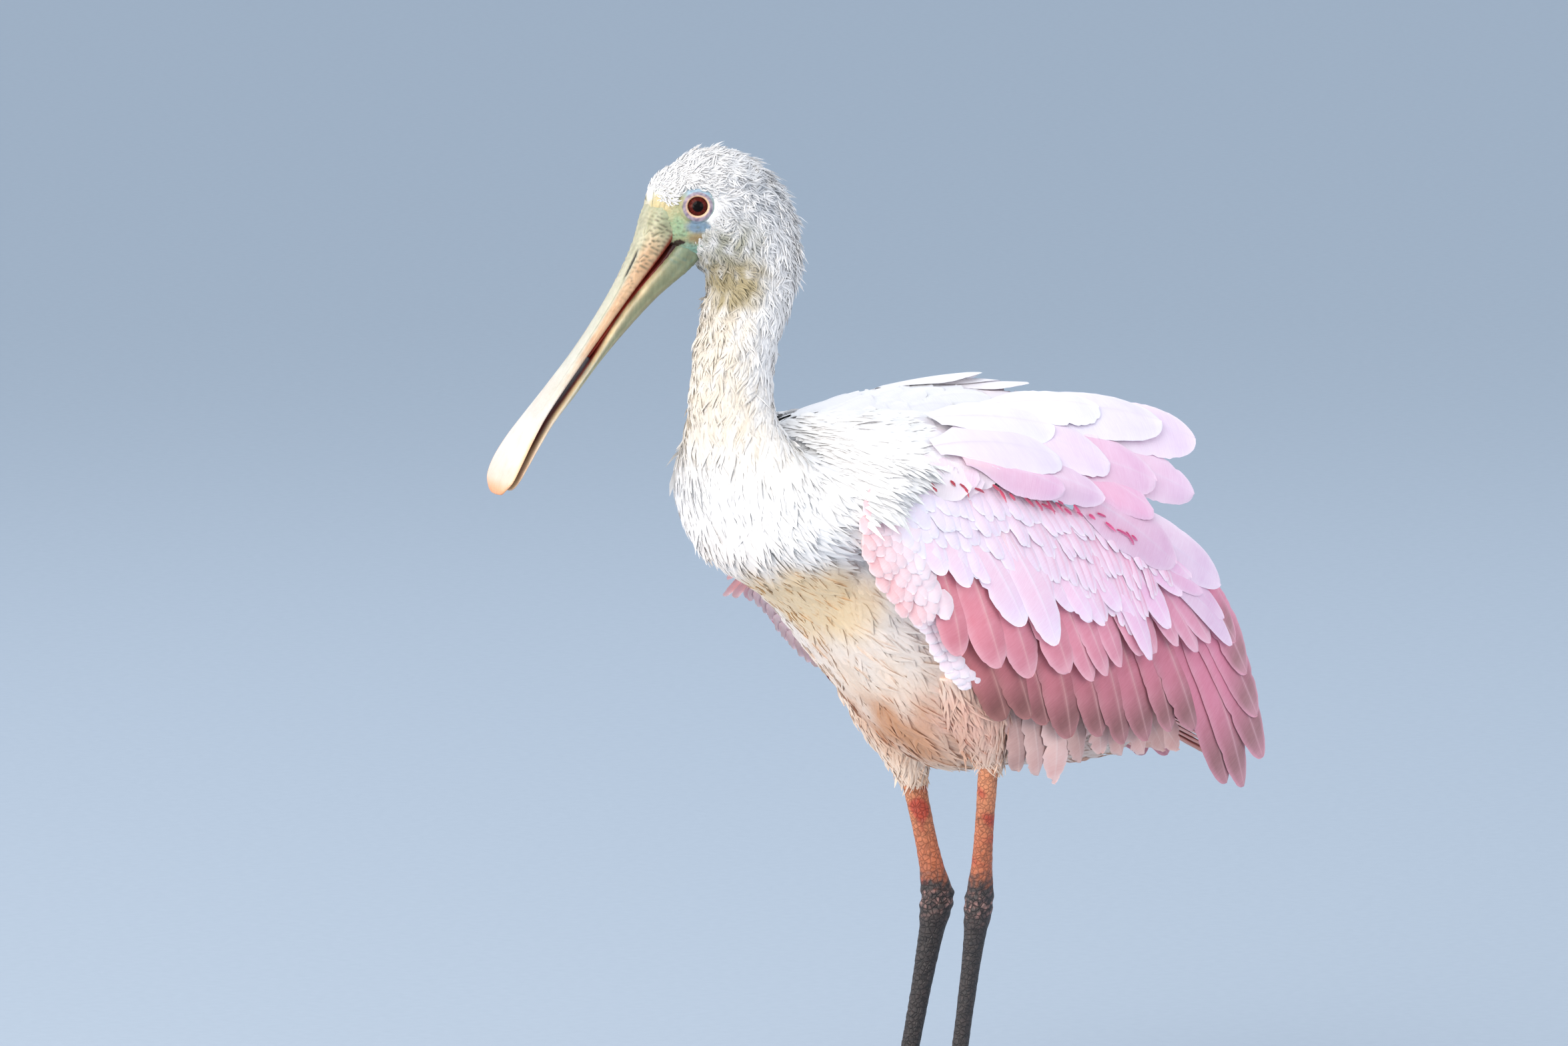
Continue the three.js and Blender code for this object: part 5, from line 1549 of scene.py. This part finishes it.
# Long soft feathers of the flank, in the side view: root, tip, width, height and how pale each is
FLANK_FEATHERS = [
    ((-8, 232), (-20, 192), 16, 2.0, 0.3), ((-20, 234), (-33, 188), 17, 3.0, 0.7),
    ((-32, 236), (-47, 184), 17, 4.0, 1.0), ((-44, 238), (-62, 193), 17, 3.4, 0.6),
    ((-56, 237), (-77, 196), 16, 3.0, 0.9), ((-68, 235), (-92, 195), 16, 2.6, 0.7),
    ((-80, 232), (-108, 193), 16, 2.2, 0.9), ((-92, 228), (-124, 193), 15, 1.8, 0.6),
    ((-102, 222), (-136, 194), 14, 1.4, 0.8),
]
FLANK_TONES = (("#CBA49A", "#B98D85", "#94736D", "#B28F87", "#CBA9A0"),
               ("#F2D6CE", "#EEC6BE", "#E9B7B0", "#F4D2CC", "#F4D8D2"))


def add_flank_feathers(name, side, material, seed):
    """Soft feathers on a sheet that leans out from the belly to the wing as a flat parabola."""
    def surface(x, z, high):
        """The flank's sheet in the side view, with a height measured outwards and a little down."""
        y = 27 + 0.1 * (x + 90) + 0.36 * (z - 185) - 0.0035 * (z - 185) ** 2
        return stacked(x, side * (y + 0.95 * high), z - 0.3 * high)

    form = {**COVERT_VANE, "ragged": 0.06, "splits": 7, "split_depth": 0.3, "wave": 1.2, "rise": 2.0}
    pale = [row[4] for row in FLANK_FEATHERS]
    piece = tabled_vanes(f"flank_feathers_{name}", form, surface, FLANK_FEATHERS, FLANK_TONES, material,
                         seed, 0.5, pale)


# The arm under the coverts, in the side view
ARM_TOP = [(101, 318), (97, 330), (84, 339), (60, 339), (16, 330), (-25, 320), (-68, 303), (-96, 286)]
ARM_LOW = [(97, 306), (84, 290), (66, 276), (40, 270), (8, 270), (-26, 272), (-60, 276), (-92, 280)]


def add_arm(name, side, surface, material):
    """A flat closed tube round the line midway between the arm's two lines, thickest at its upper front."""
    run, angle = np.linspace(0, 1, 90)[:, None], way_round(28)
    top, low = through(ARM_TOP, run), through(ARM_LOW, run)
    taper = np.clip(np.minimum(run, 1 - run) / 0.05, 0.05, 1) ** 0.5
    x, z = np.moveaxis((top + low) / 2 + (top - low) * (0.5 * np.cos(angle) * taper)[..., None], -1, 0)
    deep = (5 + 5 * (1 - run) ** 2) * taper
    points = surface(x, z, -2.5 - deep / 2 + deep / 2 * np.sin(angle))
    colours = painted(linear("#FDDEDC"), ("#F8DFE6", run + 0 * angle))
    return add_tubes(f"wing_arm_{name}", [(points, colours, unrolled(run, angle))], material, flip=side < 0)


vane_web = flight_vane("smooth_feather_web", 0.3)
add_wing("left", 1, vane_web)
add_wing("right", -1, vane_web)
add_back_feathers(vane_web)
for wing_name, wing_side in (("left", 1), ("right", -1)):
    add_shoulder_down(wing_name, wing_side, 1370 + wing_side)
    add_flank_feathers(wing_name, wing_side, vane_web, 1400 + 10 * wing_side)


# Tail
# A short fan of twelve soft vanes, arched from side to side and dropping to the rear, between coverts above
# it and fluffy ones under it.
TAIL_ROOT = (-84.0, 232.0)
TAIL_DROP = np.radians(26)


def tail_surface(along, left, high):
    """Points along the tail from its root, left of its middle, and above its arched sheet."""
    up = high - left * left / 70
    return stacked(TAIL_ROOT[0] - along * np.cos(TAIL_DROP) - up * np.sin(TAIL_DROP), left,
                   TAIL_ROOT[1] - along * np.sin(TAIL_DROP) + up * np.cos(TAIL_DROP))


def add_tail(material):
    """Layers of vanes side by side, spread evenly at roots and tips and shorter towards the sides."""
    # layer, count, half spread at root and tip, start, end at the middle and how much shorter at the edge,
    # width, height at the middle and how much lower at the edge, colours at the edge, colours at the middle
    layers = [
        ("tail_feathers", 12, 8.8, 21.5, 4, 98, 8, 15, 5.2, 6.9,
         ("#F6D3CC", "#F2B9AE", "#EDA48F", "#F5C9BA", "#F6D6CC"),
         ("#F8D6D6", "#F4BFC4", "#EFAFB4", "#F8D4D6", "#F9DDE0")),
        ("tail_coverts_upper", 15, 20, 20, -14, 58, 12, 18, 8.5, 8,
         ("#FAE9E6", "#F8DCDC", "#F7D2D4", "#FBE9E8", "#FBECEC"),
         ("#FCF1F1", "#FBE8EC", "#F9DDE4", "#FCF0F2", "#FBECEF")),
        ("tail_coverts_under", 13, 22, 19, -10, 74, 16, 20, -5.5, -3,
         ("#F8E6DF", "#F7D6CD", "#F4C0B0", "#FAE0D8", "#F9E2DC"),
         ("#F9E8E2", "#F8D9D4", "#F5C6BC", "#FAE4DE", "#F9E6E2")),
    ]
    for order, layer in enumerate(layers):
        name, count, root, tip, begin, end, shorter, width, mid_lift, lower, edge, middle = layer
        draws = np.random.default_rng(1500 + order)
        k = np.linspace(-1, 1, count)
        start = stacked(begin + 2 * draws.normal(size=count), root * k)
        stop = stacked(end - shorter * np.abs(k) + 1.5 * draws.normal(size=count), tip * k)
        looks = toned(edge, middle, 1 - np.abs(k), draws, 0.02)
        fluffy = {**COVERT_VANE, "ragged": 0.05, "splits": 6, "wave": 0.9, "rise": 1.0}
        piece = laid_vanes(name, fluffy if order else LONG_VANE, tail_surface, start, stop, width,
                           mid_lift - lower * np.abs(k), 0, looks, material, 1550 + order)
        if order == 0:
            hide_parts("tail")


add_tail(vane_web)


# Thigh feathers
# Short hairy plumes that hang down each thigh and end over the bare leg in a loose ruffled cuff.


def add_thigh_down(material):
    """Locks from evenly strewn roots on each thigh's skin, which lean down it and off the bone."""
    for order, (name, side, end, _) in enumerate(LEGS):
        stations = thigh_stations(side, end)
        count = 2300
        pairs = quasi_random(count, 1600 + order)
        run, angle = pairs[:, 0] ** 0.85, pairs[:, 1] * 2 * np.pi
        root = thigh_skin(stations, side, run, angle)
        down_way = unit(thigh_skin(stations, side, run + 0.01, angle) - root)
        out = root - through(stations, run)[:, :3]
        out = unit(out - (out * down_way).sum(-1, keepdims=True) * down_way)
        draws = np.random.default_rng(1650 + order)
        length = draws.uniform(9, 16, count) * np.interp(run, [0, 0.8, 1], [1, 0.8, 0.6])
        width, lift, shade = (draws.uniform(*reach, count) for reach in ((1.6, 3.0), (0.25, 0.5), (0.9, 1.0)))
        frames = (root, down_way, np.cross(down_way, out), out)
        locks(f"thigh_down_{name}", frames, thigh_patch(side, run, angle), length, width, lift, 0.3, 0.10,
              shade, 0.8, material, 1700 + order)


add_thigh_down(down)


# Legs
# Bare from above the ankle down: orange-salmon skin in fine round scales, stained and streaked with red,
# that turns black over the knobbly ankle and stays dark grey down the plated shank.
FOOT_X, FOOT_Y, FOOT_Z = 8.0, 20.0, 8.0
PLATE_MM = 4.6                          # from one plate of the shank to the next
GROOVE_ANGLE = 1.9                      # where a groove runs down the leg, as the way round from its front
# share of the way, 0 at the thigh feathers, 1 at the ankle, 2 at the foot; half depth and half width
LEG_SIZES = np.array([
    (-0.25, 5.8, 4.7), (0, 5.8, 4.7), (0.25, 5.6, 4.5), (0.5, 5.5, 4.4), (0.75, 6.2, 5.0),
    (0.9, 7.6, 6.1), (1.0, 8.3, 6.7), (1.06, 7.8, 6.4), (1.14, 6.3, 5.1), (1.3, 5.2, 4.3),
    (1.5, 4.6, 3.9), (1.7, 4.5, 3.9), (1.88, 4.8, 4.3), (2.0, 6.2, 5.8),
])


def scaly_skin(name, gloss):
    """Leg skin: horny scales about two millimetres across in a net of grooves, dry with a soft gloss. The
    tint's fourth value says how dark the grooves are against the scales."""
    material = new_material(name)
    place = node(material, "TexCoord")
    tint = node(material, "Attribute", {"attribute_name": "tint"})
    cells = node(material, "TexVoronoi", {"Scale": 430.0, "feature": "DISTANCE_TO_EDGE"},
                 {"Vector": (place, "Object")})
    fine = node(material, "TexNoise", {"Scale": 900.0, "Detail": 4.0}, {"Vector": (place, "Object")})
    net = node(material, "ValToRGB", {"stops": [(0.02, "#3A2C2B"), (0.16, "#FFFFFF")]},
               {"Fac": (cells, "Distance")})
    netted = node(material, "MixRGB", {"blend_type": "MULTIPLY"},
                  {"Fac": (tint, "Alpha"), "Color1": (tint, "Color"), "Color2": (net, "Color")})
    tone = node(material, "MixRGB", {"blend_type": "SOFT_LIGHT", "Fac": 0.5},
                {"Color1": (netted, "Color"), "Color2": (fine, "Fac")})
    bump = node(material, "Bump", {"Strength": 0.6, "Distance": 0.0005}, {"Height": (net, "Color")})
    shader = node(material, "BsdfPrincipled", {
        "Roughness": gloss, "IOR": 1.5},
        {"Base Color": (tone, "Color"), "Normal": (bump, "Normal")})
    node(material, "OutputMaterial", {}, {"Surface": (shader, "BSDF")})
    return material


def grooved(colours, dark):
    """Colours with the fourth value of scaly skin: how dark its grooves are against the scales."""
    return np.concatenate([colours, np.broadcast_to(dark, colours.shape[:-1])[..., None]], -1)


def leg_piece(name, side, end, ankle, material):
    """A tube from inside the thigh feathers to the foot: it swells at the ankle, where knobs crowd its
    surface, and carries a column of plates down the front of the shank."""
    foot = np.array([FOOT_X, side * FOOT_Y, FOOT_Z])
    share = np.linspace(-0.25, 2.0, 220)
    joints = np.array([end + 0.25 * (end - ankle), end, ankle, foot])
    path = np.stack([np.interp(share, [-0.25, 0, 1, 2], joint) for joint in joints.T], -1)
    for k in range(3):
        path[5:-5, k] = np.convolve(path[:, k], np.ones(11) / 11, "valid")
    x, y, z = path.T[:, :, None]
    deep, wide = through(LEG_SIZES[:, 1:],
                         np.interp(share, LEG_SIZES[:, 0], np.linspace(0, 1, len(LEG_SIZES)))).T
    angle = way_round(40)
    a = share[:, None] + 0 * angle
    flat = stacked(angle * 5, 0, z)
    plates = np.clip(np.clip(np.cos(angle), 0, 1) * 2.4 - 1.0, 0, 1) * fade(a, 1.12, 1.18)
    plate_edge = np.abs(2 * ((z / PLATE_MM + 0.12 * np.sin(angle * 3)) % 1) - 1)
    knob = np.exp(-((a - 1.0) / 0.085) ** 2)
    groove = (angle - GROOVE_ANGLE) % (2 * np.pi)
    rise = 0.3 * plates * (1 - plate_edge ** 5) + 0.45 * knob * noise(flat, 4.2, 81)
    rise = rise + 0.12 * noise(flat, 3.1, 82) - 0.9 * np.exp(-(groove / 0.16) ** 2) * (a < 0.9)
    ahead, left = (deep[:, None] + rise) * np.cos(angle), (wide[:, None] + rise) * np.sin(angle) * side
    points = turned(x, y, z, ahead, left, side * FOOT_TURN)

    wash = 0.5 + 0.5 * noise(points, 13, 83)
    fleck = 0.5 + 0.5 * noise(points, 4, 84)
    dark = painted(linear("#38302F"), ("#262223", fleck))
    colours = painted(
        linear("#D08760"),
        ("#BC6A47", fade(a, 0.1, 0.7)),
        ("#94583C", 0.85 * wash * fleck),
        ("#B0442F", np.clip(noise(points, 17, 85) - 0.3, 0, 1) * 1.3 * (a > 0)),
        # Painted shade in the groove down the leg.
        ("#6E3A30", 0.8 * np.exp(-(groove / 0.2) ** 2) * (a < 0.95)))
    colours = painted(
        blend(colours, dark, np.clip((a - 0.72 - 0.12 * (fleck - 0.5)) / 0.2, 0, 1)),
        ("#A57C74", 0.8 * knob * np.clip(fleck * 1.6 - 0.5, 0, 1)),
        ("#2A2729", plates * (plate_edge > 0.86)))
    colours = grooved(colours, 0.35 + 0.6 * np.clip(knob * 1.2, 0, 1) + 0.15 * (a > 1.1))
    piece = add_tubes(f"leg_{name}", [(points, colours, unrolled((a + 0.25) / 2.25, angle))], material,
                      flip=side > 0)
    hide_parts(f"shank_{name}", f"tarsus_{name}")


# angle from the foot's heading and share of the longest toe
TOES = [(0, 1.0), (27, 0.8), (-29, 0.72), (180, 0.44)]
TOE_MM = 70.0
TOE_PLATE_MM = 3.3
# share along a toe, height of its middle, half width
TOE_RINGS = [
    (-0.04, 5.2, 5.0), (0.06, 4.5, 4.6), (0.14, 3.9, 4.1), (0.25, 3.4, 3.8), (0.34, 3.1, 3.3),
    (0.42, 3.0, 3.2), (0.5, 3.0, 3.5), (0.58, 2.8, 3.0), (0.66, 2.6, 2.8), (0.74, 2.6, 3.1),
    (0.83, 2.4, 2.5), (0.9, 2.2, 2.0),
]
CLAW_RINGS = [
    (0.85, 2.8, 1.6), (0.9, 3.0, 1.6), (0.94, 2.7, 1.35), (0.975, 1.9, 0.95), (1.0, 1.1, 0.5),
    (1.012, 0.7, 0.15),
]
SOLE_MM = 0.9


def pressed(z):
    """Heights near the floor eased on to it, below the sole's height by an exponential."""
    return np.where(z < SOLE_MM, SOLE_MM * np.exp(np.minimum(z - SOLE_MM, 0) / SOLE_MM), z)


def toe_grid(side, spread, length, rings, rows, sides, flat_under):
    """Rings along a toe whose undersides are pressed flat on the floor, as (points, share of the ring table,
    angle round, where the seams between its plates are)."""
    run, angle = np.linspace(0, 1, rows)[:, None], way_round(sides)
    share, mid, half = np.moveaxis(through(rings, run), -1, 0)
    ahead = share * length + 0 * angle
    plate_edge = np.abs(2 * ((ahead / TOE_PLATE_MM) % 1) - 1)
    top = np.clip(np.cos(angle) * 1.6 - 0.2, 0, 1)
    rise = 0.22 * top * (1 - plate_edge ** 4) + 0.1 * noise(stacked(ahead, angle * 3, 0), 2.2, 91)
    rise = rise if flat_under else 0
    z = mid + (half * 0.92 + rise) * np.cos(angle)
    z = pressed(z) if flat_under else np.maximum(z, 0.05)
    points = turned(FOOT_X, side * FOOT_Y, z, ahead, (half + rise) * np.sin(angle),
                    side * (FOOT_TURN + np.radians(spread)))
    return points, run + 0 * angle, angle, top * (plate_edge > 0.8)


def foot_pieces(name, side, skin_material, claw_material):
    """Four toes, their pad and the webs of the front ones are one skin; each toe ends in a black claw."""
    tubes, claws = [], []
    for order, (spread, share) in enumerate(TOES):
        points, run, angle, seams = toe_grid(side, spread, TOE_MM * share, TOE_RINGS, 60, 26, True)
        colours = painted(linear("#4A4448"), ("#3A363B", 0.5 + 0.5 * noise(points, 6, 92)),
                          ("#262325", seams))
        place = (order + 0.05 + 0.9 * angle / (2 * np.pi)) / 4
        tubes.append((points, grooved(colours, 0.5), stacked(0.02 + 0.46 * run, place)))
        points, run, angle, seams = toe_grid(side, spread, TOE_MM * share, CLAW_RINGS, 24, 18, False)
        place = (order + 0.05 + 0.9 * angle / (2 * np.pi)) / 4
        claws.append((points, painted(linear("#1E1B1B"), ("#4C4240", run)), stacked(run * 0.9 + 0.05, place)))
    polar, angle = np.linspace(0.01, np.pi - 0.01, 24)[:, None], way_round(28)
    pad = stacked(FOOT_X - 1 + 9 * np.sin(polar) * np.cos(angle),
                  side * FOOT_Y + 8 * np.sin(polar) * np.sin(angle),
                  pressed(6 + 7.8 * np.cos(polar)))
    tubes.append((pad, grooved(linear("#433E42") + 0 * pad, 0.5),
                  stacked(0.52 + 0.2 * polar / np.pi, angle / (2 * np.pi))))
    for order, (first, second) in enumerate(((0, 1), (0, 2))):
        tubes.append(toe_web(side, TOES[first], TOES[second], order))
    piece = add_tubes(f"foot_{name}_skin", tubes, skin_material, flip=True)
    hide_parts(f"foot_{name}")
    nails = add_tubes(f"claws_{name}", claws, claw_material, flip=True)


def toe_web(side, first, second, order):
    """A web between two toes: a flat tube whose rings run from one toe to the other and shrink back to the
    foot, with a hollow front margin."""
    run, round_it = np.linspace(0.02, 1, 28)[:, None], way_round(32)
    upside = 1 if (order == 0) == (side > 0) else -1
    across = (1 - np.cos(round_it)) / 2
    heading = np.radians(first[0] + (second[0] - first[0]) * across)
    reach = TOE_MM * (first[1] + (second[1] - first[1]) * across)
    ahead = run * reach * (0.42 - 0.20 * np.sin(np.pi * across))
    thick = 0.55 * np.clip((1.0 - run) / 0.08, 0.1, 1)
    up = 2.4 + upside * thick * np.sin(round_it) + 0.25 * np.sin(across * 15 + run * 4)
    points = turned(FOOT_X, side * FOOT_Y, up, ahead, 0, side * (FOOT_TURN + heading))
    colours = grooved(painted(linear("#4F484B"), ("#39353A", run + 0 * across)), 0.4)
    return points, colours, unrolled(run, round_it, 0.76 + 0.1 * order, 0.08)


leg_skin = scaly_skin("scaly_leg_skin", 0.55)
claw_horn = scaly_skin("claw_horn", 0.3)
for leg_name, leg_side, leg_end, leg_ankle in LEGS:
    leg_piece(leg_name, leg_side, leg_end, leg_ankle, leg_skin)
    foot_pieces(leg_name, leg_side, leg_skin, claw_horn)
